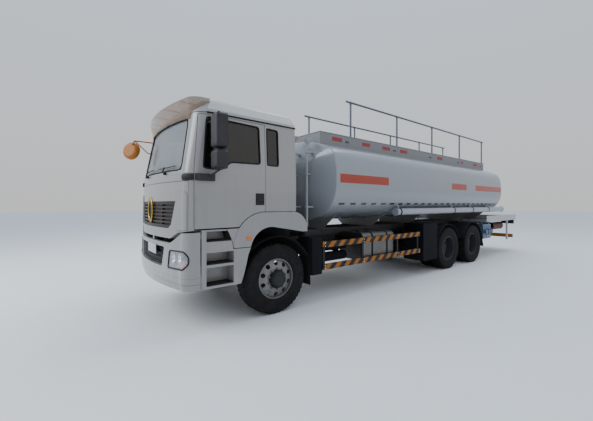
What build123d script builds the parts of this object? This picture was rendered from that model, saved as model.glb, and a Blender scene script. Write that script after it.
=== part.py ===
from build123d import *
import math
import os

os.makedirs("parts", exist_ok=True)

# A three-axle tanker truck. All sizes are in millimetres.
# The truck stands on Z = 0 and faces -Y, so its left side is +X.
# Stations along Y are counted from the front axle and grow rearwards. At the end every
# piece is moved by one value, so that the origin lies on the ground under the middle.

# Overall reach from the front axle
front_reach = 1640
rear_reach = 10070

# Fits between pieces
seat_gap = 0.3
door_gap = 6
panel_gap = 10

# Wheels and track
tyre_radius = 532
tyre_width = 300
tread_width = 236
bead_radius = 300
front_track_half = 1018
rear_track_half = 925
twin_spacing = 340
bogie_front = 5175
bogie_spacing = 1400
rim_wall = 12
rim_width = 250
hand_hole_radius = 34
hand_hole_circle = 235
flange_radius = 170
hand_hole_count = 10
front_disc_offset = 140
hub_radius = 135
drum_inner_face = -60
spindle_radius = 42

# Steering
kingpin_x = 850
kingpin_radius = 25
knuckle_height = 250
axle_eye_radius = 62
axle_eye_height = 140
steering_arm_length = 210
tie_rod_radius = 20

# Frame and running gear
frame_half = 430
rail_height = 300
rail_flange = 80
rail_wall = 8
frame_top = 1050
frame_front = -1385
frame_rear = 9880
cross_member_radius = 55
spring_width = 90
bogie_spring_x = 505
bogie_spring_seat = 715
bogie_spring_drop = 60
leaf_thickness = 16
axle_tube_radius = 75
axle_tube_end = 560
diff_radius = 225
diff_x = 60
diff_nose = 330
gearbox_end = 1000

# Cab
cab_wall = 60
cab_back = 300
cab_floor_low = 1560
cab_floor_thick = 50
seat_x = 700
tunnel_half = 470
tunnel_height = 150
drip_height = 2850
belt_height = 2060
cab_bottom = 1200
corner_bottom = 1332
side_bottom = 1558
roof_top = 3090
glass_thick = 6
glass_inset = 12
door_front = -1250
door_rear = -245
door_bottom = 1352
hinge_x = 1246
hinge_radius = 5
hinge_length = 60
hinge_heights = (1440, 1700)
lid_top = 1955
lid_half = 1185
lid_raise = 14
tilt_pivot_y = -1340
tilt_pivot_z = 1000
tilt_pin_radius = 30

# Fenders and steps
fender_wall = 25
fender_centre_y = -258
fender_centre_z = 1072
fender_radius = 476
fender_rear = 520
fender_low = 1232
fender_outer = 1245
fender_inner = 840
arch_centre_y = -150
arch_centre_z = 995
arch_radius = 338
split_height = 1072
step_front = -1165
step_rear = -630
step_bottom = 580
step_wall = 40
skirt_set_in = 6
step_depth = 250
sill_top = 1335
# bottom, top and rear end of each recess
step_recesses = ((612, 850, -735), (885, 1040, -735), (1180, 1315, -700))

# Bumper
bumper_bottom = 570
bumper_wall = 45
bumper_corner_top = 1310
bumper_middle_top = 1155

# Mirrors
mirror_x = 1440
mirror_half = 105
mirror_y = -1020
mirror_depth = 145
front_mirror_radius = 155
front_mirror_turn = 38

# Tank
tank_half_width = 1262
tank_half_height = 785
tank_middle = 2118
tank_crown_radius = 2700
tank_side_radius = 1500
tank_shoulder_radius = 330
tank_bilge_radius = 560
tank_front_seam = 1170
tank_rear_seam = 8600
head_depth = 240

# Top works
coaming_half = 720
coaming_top = 3040
coaming_front = 1230
coaming_rear = 8550
coaming_wall = 8
rail_post_first = 2090
rail_post_pitch = 1592
rail_post_count = 5
hand_rail_height = 3760
hand_rail_radius = 21
manhole_radius = 250
manhole_top = 2985
manhole_count = 4
manhole_first = 2600
manhole_pitch = 1592
manhole_hinge_offset = 275
manhole_hinge_z = 2997
manhole_pin = 12
manhole_tongue = 25

# Body mounting
subframe_height = 120
subframe_width = 80
saddle_thick = 12
saddle_stations = (1500, 3000, 4550, 7150, 8350)

# Side equipment
hose_tube_radius = 78
hose_tube_x = 1165
hose_tube_z = 1500
hose_tube_front = 2980
hose_tube_rear = 8850
guard_front = 890
guard_rear = 3870
guard_x = 1205
guard_bar_depth = 100
guard_bar_thick = 30
guard_top = 1025
guard_low = 645
fuel_front = 1990
fuel_rear = 2960
fuel_top = 1105
guard_posts = (910, 1900, 3010, 3790)
mudguard_radius = 620
mudguard_wall = 10
mudguard_low = 740
hose_tube_clips = (3100, 5500, 6600, 7700)

# Rear
deck_front = 7560
deck_half = 1225
deck_top = 1300
deck_skirt = 190
deck_plate = 10
deck_plate_front = 8700
outlet_stations = (7490, 7680, 7870)
outlet_height = 820
reel_x = 960
reel_front = 8430
reel_rear = 9270
reel_z = 930
outlet_radius = 60
outlet_bore = 50
outlet_length = 60

front_axle = 0
wheel_height = tyre_radius
bogie_rear = bogie_front + bogie_spacing
bogie_middle = (bogie_front + bogie_rear) / 2
middle_station = (rear_reach - front_reach) / 2
frame_bottom = frame_top - rail_height
subframe_top = frame_top + subframe_height
fender_foot = math.hypot(
    fender_centre_y - fender_radius - tilt_pivot_y,
    fender_centre_z - tilt_pivot_z,
)


def block(x0, x1, y0, y1, z0, z1):
    """A box between two corners."""
    middle = ((x0 + x1) / 2, (y0 + y1) / 2, (z0 + z1) / 2)
    return Pos(*middle) * Box(abs(x1 - x0), abs(y1 - y0), abs(z1 - z0))


def both_sides(shape):
    """The shape and its mirror image across the middle of the truck."""
    return [shape, mirror(shape, about=Plane.YZ)]


def rod(start, end, radius):
    """A round bar between two points."""
    axis = Vector(*end) - Vector(*start)
    base = Plane(origin=start, z_dir=axis.normalized())
    return extrude(base * Circle(radius), axis.length)


def side_plate(points, x0, x1, radius=0):
    """A plate with its outline in the Y-Z plane, between two X values."""
    face = make_face(Polyline(points, close=True))
    if radius:
        face = fillet(face.vertices(), radius)
    return extrude(Plane(origin=(x0, 0, 0), x_dir=(0, 1, 0), z_dir=(1, 0, 0)) * face, x1 - x0)


def front_plate(points, y0, y1, radius=0):
    """A plate with its outline in the X-Z plane, between two Y values."""
    face = make_face(Polyline(points, close=True))
    if radius:
        face = fillet(face.vertices(), radius)
    return extrude(Plane(origin=(0, y1, 0), x_dir=(1, 0, 0), z_dir=(0, -1, 0)) * face, y1 - y0)


def spun(points, centre):
    """A body of revolution about the X axis through a centre, from (x, radius) points."""
    face = make_face(Polyline(points, close=True))
    return Pos(*centre) * revolve(face, Axis.X, 360)


def save(node, *shapes):
    """Write one node, moved from stations to the frame of the part."""
    moved = [Pos(0, -middle_station, 0) * shape for shape in shapes]
    solids = [solid for shape in moved for solid in shape.solids()]
    whole = solids[0] if len(solids) == 1 else Compound(solids)
    export_step(whole, f"parts/{node}.step")


# Wheels
def tyre(centre_x, station):
    """A road tyre with flat tread, rounded shoulders and bulged walls."""
    half = tyre_width / 2
    tread = tread_width / 2
    with BuildSketch(Plane.XY) as section:
        with BuildLine():
            Line((-tread, tyre_radius), (tread, tyre_radius))
            ThreePointArc((tread, tyre_radius), (half - 12, tyre_radius - 45), (half, 430))
            ThreePointArc((half, 430), (half - 8, 360), (rim_width / 2, bead_radius))
            Line((rim_width / 2, bead_radius), (-rim_width / 2, bead_radius))
            ThreePointArc((-rim_width / 2, bead_radius), (-half + 8, 360), (-half, 430))
            ThreePointArc((-half, 430), (-half + 12, tyre_radius - 45), (-tread, tyre_radius))
        make_face()
    ring = revolve(section.sketch, Axis.X, 360)
    return Pos(centre_x, station, wheel_height) * ring


def rim(centre_x, station, disc_x, shoulder_x):
    """A steel rim: barrel, sloped disc with a ring of hand holes, and a centre bore."""
    barrel_half = rim_width / 2
    barrel_outer = bead_radius - seat_gap
    barrel_inner = barrel_outer - rim_wall
    centre = (centre_x, station, wheel_height)
    outline = [
        (-barrel_half, barrel_outer),
        (barrel_half, barrel_outer),
        (barrel_half, barrel_inner),
        (-barrel_half, barrel_inner),
    ]
    side = math.copysign(1, disc_x)
    bore = spindle_radius + seat_gap
    disc_outline = [
        (disc_x, bore),
        (disc_x, flange_radius),
        (shoulder_x, barrel_inner + 1),
        (shoulder_x - side * 2 * rim_wall, barrel_inner + 1),
        (disc_x - side * rim_wall, flange_radius),
        (disc_x - side * rim_wall, bore),
    ]
    holes = [
        Pos(centre_x + (disc_x + shoulder_x) / 2, station, wheel_height)
        * Rot(360 / hand_hole_count * i, 0, 0)
        * Pos(0, 0, hand_hole_circle)
        * Rot(0, 90, 0)
        * Cylinder(hand_hole_radius, 120)
        for i in range(hand_hole_count)
    ]
    return spun(outline, centre) + spun(disc_outline, centre) - holes


def front_wheel(side, name):
    """One steered wheel: tyre, rim, hub and brake drum on one bearing."""
    x = side * front_track_half
    disc = front_disc_offset
    bore = spindle_radius + seat_gap
    save(f"tyre_front_{name}", tyre(x, front_axle))
    hub_outline = [
        (disc - 1, bore),
        (disc - 1, hub_radius),
        (disc + 70, hub_radius - 25),
        (disc + 85, hub_radius - 45),
        (disc + 85, 0),
        (disc + 60, 0),
        (disc + 60, bore),
    ]
    drum_outline = [
        (disc - rim_wall, bore),
        (disc - rim_wall, flange_radius - 20),
        (drum_inner_face, flange_radius + 35),
        (drum_inner_face, flange_radius + 15),
        (disc - 50, flange_radius - 45),
        (disc - 50, bore),
    ]
    wheel = rim(x, front_axle, side * disc, side * (rim_width / 2 - 35))
    for outline in (hub_outline, drum_outline):
        wheel += spun([(side * px, pr) for px, pr in outline], (x, front_axle, wheel_height))
    save(f"rim_front_{name}", wheel)


def twin_wheel(side, station, name):
    """A pair of wheels on one hub, joined at their discs."""
    inner = side * (rear_track_half - twin_spacing / 2)
    outer = side * (rear_track_half + twin_spacing / 2)
    save(f"tyres_{name}", tyre(inner, station), tyre(outer, station))
    face = twin_spacing / 2
    shoulder = rim_width / 2 - 20
    pair = rim(inner, station, side * face, side * shoulder)
    pair += rim(outer, station, -side * face, -side * shoulder)
    bore = spindle_radius + seat_gap
    hub_outline = [
        (0, bore),
        (0, hub_radius),
        (150, hub_radius - 20),
        (165, 80),
        (165, 0),
        (130, 0),
        (130, bore),
    ]
    drum_outline = [
        (0, bore),
        (0, flange_radius),
        (-40, flange_radius + 35),
        (-260, flange_radius + 35),
        (-260, flange_radius + 15),
        (-60, flange_radius + 15),
        (-60, bore),
    ]
    for outline in (hub_outline, drum_outline):
        centre = (side * rear_track_half, station, wheel_height)
        pair += spun([(side * px, pr) for px, pr in outline], centre)
    save(f"rims_{name}", pair)


def steering():
    """Axle beam, two knuckles with their stub axles, and the tie rod."""
    eye_half = axle_eye_height / 2
    drop = 110
    beam = front_plate(
        [
            (-kingpin_x, wheel_height - 55),
            (-kingpin_x + 130, wheel_height - 55),
            (-560, wheel_height - drop - 55),
            (560, wheel_height - drop - 55),
            (kingpin_x - 130, wheel_height - 55),
            (kingpin_x, wheel_height - 55),
            (kingpin_x, wheel_height + 45),
            (kingpin_x - 150, wheel_height + 45),
            (540, wheel_height - drop + 45),
            (-540, wheel_height - drop + 45),
            (-kingpin_x + 150, wheel_height + 45),
            (-kingpin_x, wheel_height + 45),
        ],
        -50,
        50,
    )
    flank = [
        (-520, wheel_height - drop - 30),
        (520, wheel_height - drop - 30),
        (520, wheel_height - drop + 20),
        (-520, wheel_height - drop + 20),
    ]
    beam -= front_plate(flank, -50, -12)
    beam -= front_plate(flank, 12, 50)
    for x in (-kingpin_x, kingpin_x):
        foot = (x, front_axle, wheel_height - eye_half)
        head = (x, front_axle, wheel_height + eye_half)
        beam += rod(foot, head, axle_eye_radius)
        beam -= rod(foot, head, kingpin_radius + seat_gap)
    save("front_axle_beam", beam)
    for side, name in ((1, "left"), (-1, "right")):
        x = side * kingpin_x
        pin_half = knuckle_height / 2
        low = wheel_height - pin_half
        high = wheel_height + pin_half
        ear_inner = eye_half + 1
        pin = rod((x, 0, low), (x, 0, high), kingpin_radius)
        ears = rod((x, 0, low), (x, 0, wheel_height - ear_inner), 52)
        ears += rod((x, 0, wheel_height + ear_inner), (x, 0, high), 52)
        web_x0 = x + side * (axle_eye_radius + 6)
        web_x1 = x + side * (axle_eye_radius + 40)
        web = block(web_x0, web_x1, -52, 52, low, high)
        web += block(x, web_x1, -45, 45, low, wheel_height - ear_inner)
        web += block(x, web_x1, -45, 45, wheel_height + ear_inner, high)
        hub_end = side * (front_track_half + front_disc_offset + 45)
        stub = rod((web_x1, 0, wheel_height), (hub_end, 0, wheel_height), spindle_radius)
        arm_z = low + 25
        arm = block(x - 25, x + 25, 0, steering_arm_length, arm_z - 18, arm_z + 18)
        ball = rod((x, steering_arm_length, arm_z - 40), (x, steering_arm_length, arm_z + 18), 30)
        save(f"knuckle_{name}", pin + ears + web + stub + arm + ball)
    arm_z = wheel_height - knuckle_height / 2 + 25
    rod_z = arm_z - 40 - seat_gap - tie_rod_radius - 14
    rod_ends = [(x, steering_arm_length, rod_z) for x in (-kingpin_x, kingpin_x)]
    link = rod(*rod_ends, tie_rod_radius)
    for x in (-kingpin_x, kingpin_x):
        link += rod(
            (x, steering_arm_length, rod_z - 34),
            (x, steering_arm_length, arm_z - 40 - seat_gap),
            34,
        )
    save("tie_rod", link)


# Frame
def chassis():
    """Two channel rails with round cross members, and the pivots that carry the cab."""
    pieces = []
    for side in (1, -1):
        outer = side * frame_half
        inner = side * (frame_half - rail_flange)
        rail = block(inner, outer, frame_front, frame_rear, frame_bottom, frame_top)
        hollow = block(
            inner - side,
            outer - side * rail_wall,
            frame_front,
            frame_rear,
            frame_bottom + rail_wall,
            frame_top - rail_wall,
        )
        pieces.append(rail - hollow)
    frame = pieces[0] + pieces[1]
    member_z = (frame_top + frame_bottom) / 2
    reach = frame_half - rail_wall
    for station in (-1262, 1150, 2700, 4200, bogie_middle, 7400, 8700, 9800):
        frame += rod((-reach, station, member_z), (reach, station, member_z), cross_member_radius)
    for side in (1, -1):
        start = (side * (frame_half - rail_flange), tilt_pivot_y, tilt_pivot_z)
        end = (side * (frame_half + 18), tilt_pivot_y, tilt_pivot_z)
        frame += rod(start, end, tilt_pin_radius + 14)
        frame -= rod(start, end, tilt_pin_radius + seat_gap)
    save("chassis_frame", frame)


def leaf_pack(x, station, length, z_seat, rise, leaves, down):
    """A stack of curved leaves, longest first, each shorter than the one before."""
    pack = None
    for i in range(leaves):
        half = length / 2 * (1 - i * 0.11)
        lift = rise * (half / (length / 2)) ** 2
        z = z_seat + down * i * leaf_thickness
        with BuildSketch(Plane.YZ) as section:
            with BuildLine():
                ThreePointArc((-half, z - down * lift), (0, z), (half, z - down * lift))
                Line((half, z - down * lift), (half, z - down * lift + down * leaf_thickness))
                ThreePointArc(
                    (half, z - down * lift + down * leaf_thickness),
                    (0, z + down * leaf_thickness),
                    (-half, z - down * lift + down * leaf_thickness),
                )
                Line((-half, z - down * lift + down * leaf_thickness), (-half, z - down * lift))
            make_face()
        leaf = Pos(x - spring_width / 2, station, 0) * extrude(section.sketch, spring_width)
        pack = leaf if pack is None else pack + leaf
    return pack


def suspension():
    """Front springs over the beam, and the bogie springs with their trunnion."""
    beam_top = wheel_height - 110 + 45
    shapes = []
    for side in (1, -1):
        x = side * (frame_half - 45)
        seat = beam_top + seat_gap
        shapes.append(leaf_pack(x, front_axle, 1500, seat + 6 * leaf_thickness, 110, 6, -1))
        for y in (-765, 765):
            shapes.append(block(x - 40, x + 40, y - 45, y + 45, 640, frame_bottom))
    trunnion_z = 655
    trunnion_radius = 58
    for side in (1, -1):
        x = side * bogie_spring_x
        pack = leaf_pack(x, bogie_middle, 1330, bogie_spring_seat, bogie_spring_drop, 7, 1)
        shaft_end = side * (bogie_spring_x + 75)
        pack += rod((0, bogie_middle, trunnion_z), (shaft_end, bogie_middle, trunnion_z), trunnion_radius)
        pack += block(
            side * (frame_half - rail_flange),
            side * frame_half,
            bogie_middle - 160,
            bogie_middle + 160,
            trunnion_z,
            frame_bottom,
        )
        pack += block(x - 45, x + 45, bogie_middle - 60, bogie_middle + 60, trunnion_z, bogie_spring_seat + 5)
        shapes.append(pack)
    bogie = shapes.pop() + shapes.pop()
    shapes.append(bogie)
    save("leaf_springs", *shapes)


def drive_axle(station):
    """A driven axle: housing with a round differential, and the two spindles."""
    end = rear_track_half + 125
    tube_ends = [(x, station, wheel_height) for x in (-axle_tube_end, axle_tube_end)]
    housing = rod(*tube_ends, axle_tube_radius)
    housing += rod((-end, station, wheel_height), (end, station, wheel_height), spindle_radius)
    housing += Pos(diff_x, station, wheel_height) * Sphere(diff_radius)
    pad_top = bogie_spring_seat - bogie_spring_drop - seat_gap
    for side in (1, -1):
        x = side * bogie_spring_x
        housing += block(x - 45, x + 45, station - 70, station + 70, wheel_height, pad_top)
    nose = Cone(150, 70, diff_nose, align=(Align.CENTER, Align.CENTER, Align.MIN))
    housing += Pos(diff_x, station, wheel_height) * Rot(90, 0, 0) * nose
    return housing


def driveline():
    """Engine, gearbox and radiator as plain masses, driven axles and propeller shafts."""
    engine = block(-330, 330, -960, 250, 640, 1440)
    gearbox = block(-230, 230, 250, gearbox_end, 620, 1000)
    radiator = block(-330, 330, -1180, -1080, 640, 1330)
    shroud = block(-250, 250, -1080, -960, 760, 1260)
    save("engine", engine + gearbox + radiator + shroud)
    nose_y = bogie_front - diff_nose
    output_z = 770
    bearing = (40, 2500, 745)
    flange = 65
    shafts = rod((0, gearbox_end + seat_gap, output_z), (0, gearbox_end + 35, output_z), flange)
    shafts += rod((0, gearbox_end + 25, output_z), bearing, 50)
    shafts += rod(bearing, (diff_x, nose_y - 30, wheel_height), 50)
    nose_end = (diff_x, nose_y - seat_gap, wheel_height)
    shafts += rod((diff_x, nose_y - 40, wheel_height), nose_end, flange)
    shafts += block(-20, 100, 2440, 2560, 680, 830)
    reach = frame_half - rail_wall - seat_gap
    shafts += block(-reach, reach, 2470, 2530, 775, 830)
    link = rod(
        (diff_x, bogie_front + diff_radius + seat_gap, wheel_height),
        (diff_x, bogie_rear - diff_nose - seat_gap, wheel_height),
        45,
    )
    save("driveline", drive_axle(bogie_front), drive_axle(bogie_rear), shafts, link)


# Cab shell, from plan outlines at a few heights
# columns: height, half width, x where the corner starts, y of the front at the middle,
# y of the front at the corner, y where the corner ends on the side, y of the back
cab_sections = (
    (cab_bottom, 1236, 1085, -1478, -1352, -1228, cab_back),
    (belt_height, 1240, 1065, -1462, -1338, -1222, cab_back),
    (drip_height, 1200, 965, -1300, -1202, -1085, cab_back),
)
roof_sections = (
    (drip_height + 2, 1212, 970, -1308, -1210, -1090, cab_back + 8),
    (drip_height + 50, 1190, 950, -1270, -1175, -1070, cab_back - 2),
    (roof_top - 70, 1115, 905, -1180, -1105, -1010, cab_back - 40),
    (roof_top, 985, 800, -1075, -1020, -930, cab_back - 95),
)


def plan_outline(section, inset, back_inset):
    """One closed outline: back, sides, rounded corners and a bowed front."""
    z, half, corner, front_mid, front_edge, side_start, back = section
    w = half - inset
    c = corner - 0.6 * inset
    f = front_edge + inset
    s = side_start + 0.5 * inset
    b = back - back_inset
    bulge_x = (c + w) / 2 + 0.2 * (s - f)
    bulge_y = (f + s) / 2 - 0.2 * (w - c)
    edges = [
        Line((w, s, z), (w, b, z)),
        Line((w, b, z), (-w, b, z)),
        Line((-w, b, z), (-w, s, z)),
        ThreePointArc((-w, s, z), (-bulge_x, bulge_y, z), (-c, f, z)),
        ThreePointArc((-c, f, z), (0, front_mid + inset, z), (c, f, z)),
        ThreePointArc((c, f, z), (bulge_x, bulge_y, z), (w, s, z)),
    ]
    return make_face(Wire(edges))


def cab_block(sections, inset, trim_top=0, back_inset=None):
    """The solid inside a skin, drawn in by an even inset, or open at its back."""
    if back_inset is None:
        back_inset = inset
    faces = [plan_outline(section, inset, back_inset) for section in sections]
    if trim_top:
        last = sections[-1]
        faces[-1] = plan_outline((last[0] - trim_top,) + last[1:], inset, back_inset)
    return loft(faces, ruled=True)


def arch_points(radius, angles):
    """Points on an arch about the fender's centre, by angles forward from straight up."""
    turns = [math.radians(angle) for angle in angles]
    return [
        (fender_centre_y - radius * math.sin(turn), fender_centre_z + radius * math.cos(turn))
        for turn in turns
    ]


door_outline = [
    (door_front, door_bottom),
    *arch_points(fender_radius + panel_gap, (54.5, 45, 35, 25, 15, 5)),
    (door_rear, side_bottom),
    (door_rear, 2812),
    (-1172, 2816),
    (door_front, belt_height + 40),
]
door_window = [
    (-1140, 2125),
    (-900, 2115),
    (-770, 2225),
    (-325, 2235),
    (-335, 2765),
    (-1085, 2790),
]
quarter_window = [(-212, 2225), (-14, 2225), (-14, 2765), (-212, 2775)]
windscreen_outline = [(-1015, 2105), (1015, 2105), (930, 2790), (-930, 2790)]
grille_outline = [(-720, 1345), (720, 1345), (800, 1400), (905, 1705), (-905, 1705), (-800, 1400)]
lid_outline = [
    (-lid_half, lid_top),
    (-lid_half, 1325),
    (-980, 1300),
    (-780, 1215),
    (780, 1215),
    (980, 1300),
    (lid_half, 1325),
    (lid_half, lid_top),
]
raised_outline = [(940, 1330), (lid_half, 1345), (lid_half, 1790), (1150, 1822), (985, 1822), (940, 1775)]


def grown(points, amount, build, lower, upper):
    """A plate whose outline is moved outwards or inwards by an amount."""
    face = make_face(Polyline(points, close=True))
    face = offset(face, amount, kind=Kind.INTERSECTION)
    if build == "side":
        plane = Plane(origin=(lower, 0, 0), x_dir=(0, 1, 0), z_dir=(1, 0, 0))
    else:
        plane = Plane(origin=(0, upper, 0), x_dir=(1, 0, 0), z_dir=(0, -1, 0))
    return extrude(plane * face, upper - lower)


def cab():
    """The hollow cab shell with its openings, roof, floor, doors, lid and glass."""
    outer = cab_block(cab_sections, 0)
    inner = cab_block(cab_sections, cab_wall)
    skin = outer - inner
    side_low = 1050
    side_high = 1300
    front_low = -1700
    front_high = -1120
    lid_back = door_front - 2 * panel_gap
    shell = skin
    for shape in both_sides(grown(door_outline, door_gap, "side", side_low, side_high)):
        shell -= shape
    for shape in both_sides(grown(quarter_window, 0, "side", side_low, side_high)):
        shell -= shape
    shell -= grown(windscreen_outline, 0, "front", front_low, -1000)
    shell -= grown(lid_outline, door_gap, "front", front_low, lid_back + door_gap)
    shell -= block(-1400, 1400, door_front, 400, cab_bottom - 10, side_bottom)
    shell -= block(-1400, 1400, -1700, 400, cab_bottom - 10, corner_bottom)
    save("cab_shell", shell)

    glass_skin = cab_block(cab_sections, glass_inset) - cab_block(cab_sections, glass_inset + glass_thick)
    screen = glass_skin & grown(windscreen_outline, -seat_gap, "front", front_low, -1000)
    quarter = glass_skin & grown(quarter_window, -seat_gap, "side", side_low, side_high)
    save("cab_glass", screen, *both_sides(quarter))

    roof = cab_block(roof_sections, 0) - cab_block(roof_sections, 40, trim_top=40)
    save("cab_roof", roof)

    inside = cab_block(cab_sections, cab_wall + seat_gap)
    floor = block(-1400, 1400, -1700, 400, cab_floor_low, cab_floor_low + cab_floor_thick)
    tunnel = block(-tunnel_half, tunnel_half, -1100, cab_back, cab_floor_low, cab_floor_low + tunnel_height)
    tunnel -= block(
        -tunnel_half + 20,
        tunnel_half - 20,
        -1080,
        cab_back,
        cab_floor_low - 1,
        cab_floor_low + tunnel_height - 20,
    )
    floor -= block(-tunnel_half + 20, tunnel_half - 20, -1080, cab_back, 0, 3000)
    clear = cab_block(cab_sections, cab_wall + 12)
    bulkhead = block(-1040, 1040, -1290, -1260, 1395, 2040) & clear
    apron = block(-1130, 1130, -1290, -1000, cab_floor_low, cab_floor_low + cab_floor_thick) & inside
    floor_parts = (floor + tunnel) & inside
    for side in (1, -1):
        floor_parts -= block(side * 1130, side * 1300, -1400, door_front + 110, 1500, 1700)
    legs = []
    for side in (1, -1):
        x0 = side * (frame_half + 24)
        x1 = side * (frame_half + 74)
        leg = side_plate(
            [
                (tilt_pivot_y - 50, tilt_pivot_z + 8),
                (tilt_pivot_y - 5, tilt_pivot_z - 50),
                (tilt_pivot_y + 55, tilt_pivot_z - 30),
                (-690, cab_floor_low + 5),
                (-860, cab_floor_low + 5),
                (tilt_pivot_y - 12, tilt_pivot_z + 48),
            ],
            min(x0, x1),
            max(x0, x1),
        )
        start = (side * (frame_half - rail_flange), tilt_pivot_y, tilt_pivot_z)
        legs += [leg, rod(start, (x1, tilt_pivot_y, tilt_pivot_z), tilt_pin_radius)]
    save("cab_floor", floor_parts + bulkhead + apron + legs)

    door_slab = skin & grown(door_outline, 0, "side", side_low, side_high)
    opening = grown(door_window, 0, "side", side_low, side_high)
    door_left = door_slab - opening
    for z in hinge_heights:
        door_left += block(hinge_x - 16, hinge_x, door_front + 1, door_front + 10, z, z + hinge_length)
        door_left += rod((hinge_x, door_front, z), (hinge_x, door_front, z + hinge_length), hinge_radius)
    door_glass = glass_skin & grown(door_window, -seat_gap, "side", side_low, side_high)
    for name, shape in zip(("left", "right"), both_sides(door_left)):
        save(f"door_{name}", shape)
    for name, shape in zip(("left", "right"), both_sides(door_glass)):
        save(f"door_glass_{name}", shape)

    lid = skin & grown(lid_outline, 0, "front", front_low, lid_back)
    lid -= grown(grille_outline, 0, "front", front_low, front_high)
    swell = cab_block(cab_sections, -lid_raise) - cab_block(cab_sections, cab_wall / 2)
    for shape in both_sides(grown(raised_outline, 0, "front", front_low, lid_back)):
        lid += swell & shape
    save("front_lid", lid)
    grille_skin = cab_block(cab_sections, 14) - cab_block(cab_sections, 40)
    bars = None
    for i in range(7):
        z = 1362 + 50 * i
        bar = block(-1000, 1000, -1600, -1150, z, z + 26)
        bars = bar if bars is None else bars + bar
    ring = grown(grille_outline, -seat_gap, "front", front_low, front_high)
    ring -= grown(grille_outline, -22, "front", front_low, front_high)
    mullions = [block(x - 12, x + 12, -1600, -1150, 1300, 1750) for x in (-450, 0, 450)]
    net = bars + ring + mullions
    net &= grown(grille_outline, -seat_gap, "front", front_low, front_high)
    save("grille", net & grille_skin)


def interior():
    """Seats, bunk, dashboard and steering wheel inside the cab."""
    floor_top = cab_floor_low + cab_floor_thick
    base = floor_top + seat_gap
    seats = []
    for x in (seat_x, -seat_x):
        seats.append(block(x - 150, x + 150, -640, -280, base, base + 150))
        cushion = block(x - 250, x + 250, -740, -240, base + 150 + seat_gap, base + 270)
        seats.append(fillet(cushion.edges().filter_by(Axis.X), 45))
        back = side_plate(
            [
                (-310, base + 270 + seat_gap),
                (-200, base + 270 + seat_gap),
                (-90, base + 930),
                (-170, base + 930),
            ],
            x - 240,
            x + 240,
        )
        seats.append(back)
    bunk = block(-1100, 1100, -40, cab_back - cab_wall - 5, floor_top + tunnel_height + 5, floor_top + 330)
    bunk += block(-1100, -520, -40, cab_back - cab_wall - 5, base, floor_top + 330)
    bunk += block(520, 1100, -40, cab_back - cab_wall - 5, base, floor_top + 330)
    save("seats", *seats, bunk)
    dash = side_plate(
        [
            (-1260 + seat_gap, 1730),
            (-1050, 1730),
            (-930, 1780),
            (-930, 1920),
            (-1010, 2020),
            (-1260 + seat_gap, 2075),
        ],
        -1060,
        1060,
    )
    hub = (seat_x, -880, 2080)
    lean = Pos(*hub) * Rot(-40, 0, 0)
    wheel = lean * Torus(225, 17)
    for angle in (0, 120, 240):
        wheel += lean * Rot(0, 0, angle) * Pos(0, 112, 0) * Box(34, 225, 16)
    wheel += lean * Cylinder(60, 40)
    column_end = tuple((lean * Pos(0, 0, -260)).position)
    wheel += rod(hub, column_end, 28)
    save("dashboard", (dash & cab_block(cab_sections, cab_wall + 2)) + wheel)


def arched_skin(inner_edges, x0, x1):
    """A plate under the fender's arch: round front, flat top, round rear, chosen underside."""
    crest = fender_centre_z + fender_radius
    slant = fender_radius * math.sqrt(0.5)
    front = (0, fender_centre_y - fender_radius, fender_centre_z)
    top_front = (0, fender_centre_y, crest)
    top_rear = (0, fender_rear - 250, crest)
    rear_end = (0, fender_rear, fender_low)
    edges = [
        ThreePointArc(front, (0, fender_centre_y - slant, fender_centre_z + slant), top_front),
        Line(top_front, top_rear),
        ThreePointArc(top_rear, (0, fender_rear - 62, crest - 105), rear_end),
    ]
    edges += inner_edges(front, rear_end)
    return Pos(x0, 0, 0) * extrude(make_face(Wire(edges)), x1 - x0, dir=(1, 0, 0))


def side_underside(front, rear_end):
    """The wheel opening as it shows from the side."""
    slant = arch_radius * math.sqrt(0.5)
    crown = (0, arch_centre_y + 90, arch_centre_z + arch_radius - 13)
    turn = (0, arch_centre_y - slant, arch_centre_z + slant)
    start = (0, arch_centre_y - arch_radius + 9, fender_centre_z)
    return [
        Line(rear_end, (0, rear_end[1] - 90, fender_low)),
        Line((0, rear_end[1] - 90, fender_low), (0, 215, 1272)),
        Line((0, 215, 1272), crown),
        ThreePointArc(crown, turn, start),
        Line(start, front),
    ]


def tilt_edge(radius, low):
    """Points at one distance from the cab's tilt line, from a low height up to the sill."""
    heights = [low + (sill_top - low) * i / 4 for i in range(5)]
    return [(tilt_pivot_y + math.sqrt(radius**2 - (z - tilt_pivot_z) ** 2), z) for z in heights]


def fenders():
    """Wheel houses with their side skins and the skirt in front, which tilt with the cab."""
    skin = arched_skin(side_underside, fender_outer - fender_wall, fender_outer)

    def house_underside(front, rear_end):
        radius = fender_radius - fender_wall
        crest = fender_centre_z + radius
        slant = radius * math.sqrt(0.5)
        rear = rear_end[1] - fender_wall
        top_rear = (0, rear - 250, crest)
        top_front = (0, fender_centre_y, crest)
        last = (0, fender_centre_y - radius, fender_centre_z)
        return [
            Line(rear_end, (0, rear, fender_low)),
            ThreePointArc((0, rear, fender_low), (0, rear - 62, crest - 105), top_rear),
            Line(top_rear, top_front),
            ThreePointArc(top_front, (0, fender_centre_y - slant, fender_centre_z + slant), last),
            Line(last, front),
        ]

    house = arched_skin(house_underside, fender_inner, fender_outer - fender_wall)
    overlap = fender_radius - fender_wall / 2
    last_turn = math.degrees(math.acos((sill_top - fender_centre_z) / overlap))
    skirt = side_plate(
        [
            *tilt_edge(fender_foot, split_height),
            *arch_points(overlap, (last_turn, 66, 75, 84, 90)),
        ],
        fender_outer - fender_wall,
        fender_outer - skirt_set_in,
    )
    save("fenders", *both_sides(skin + house + skirt))


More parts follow.
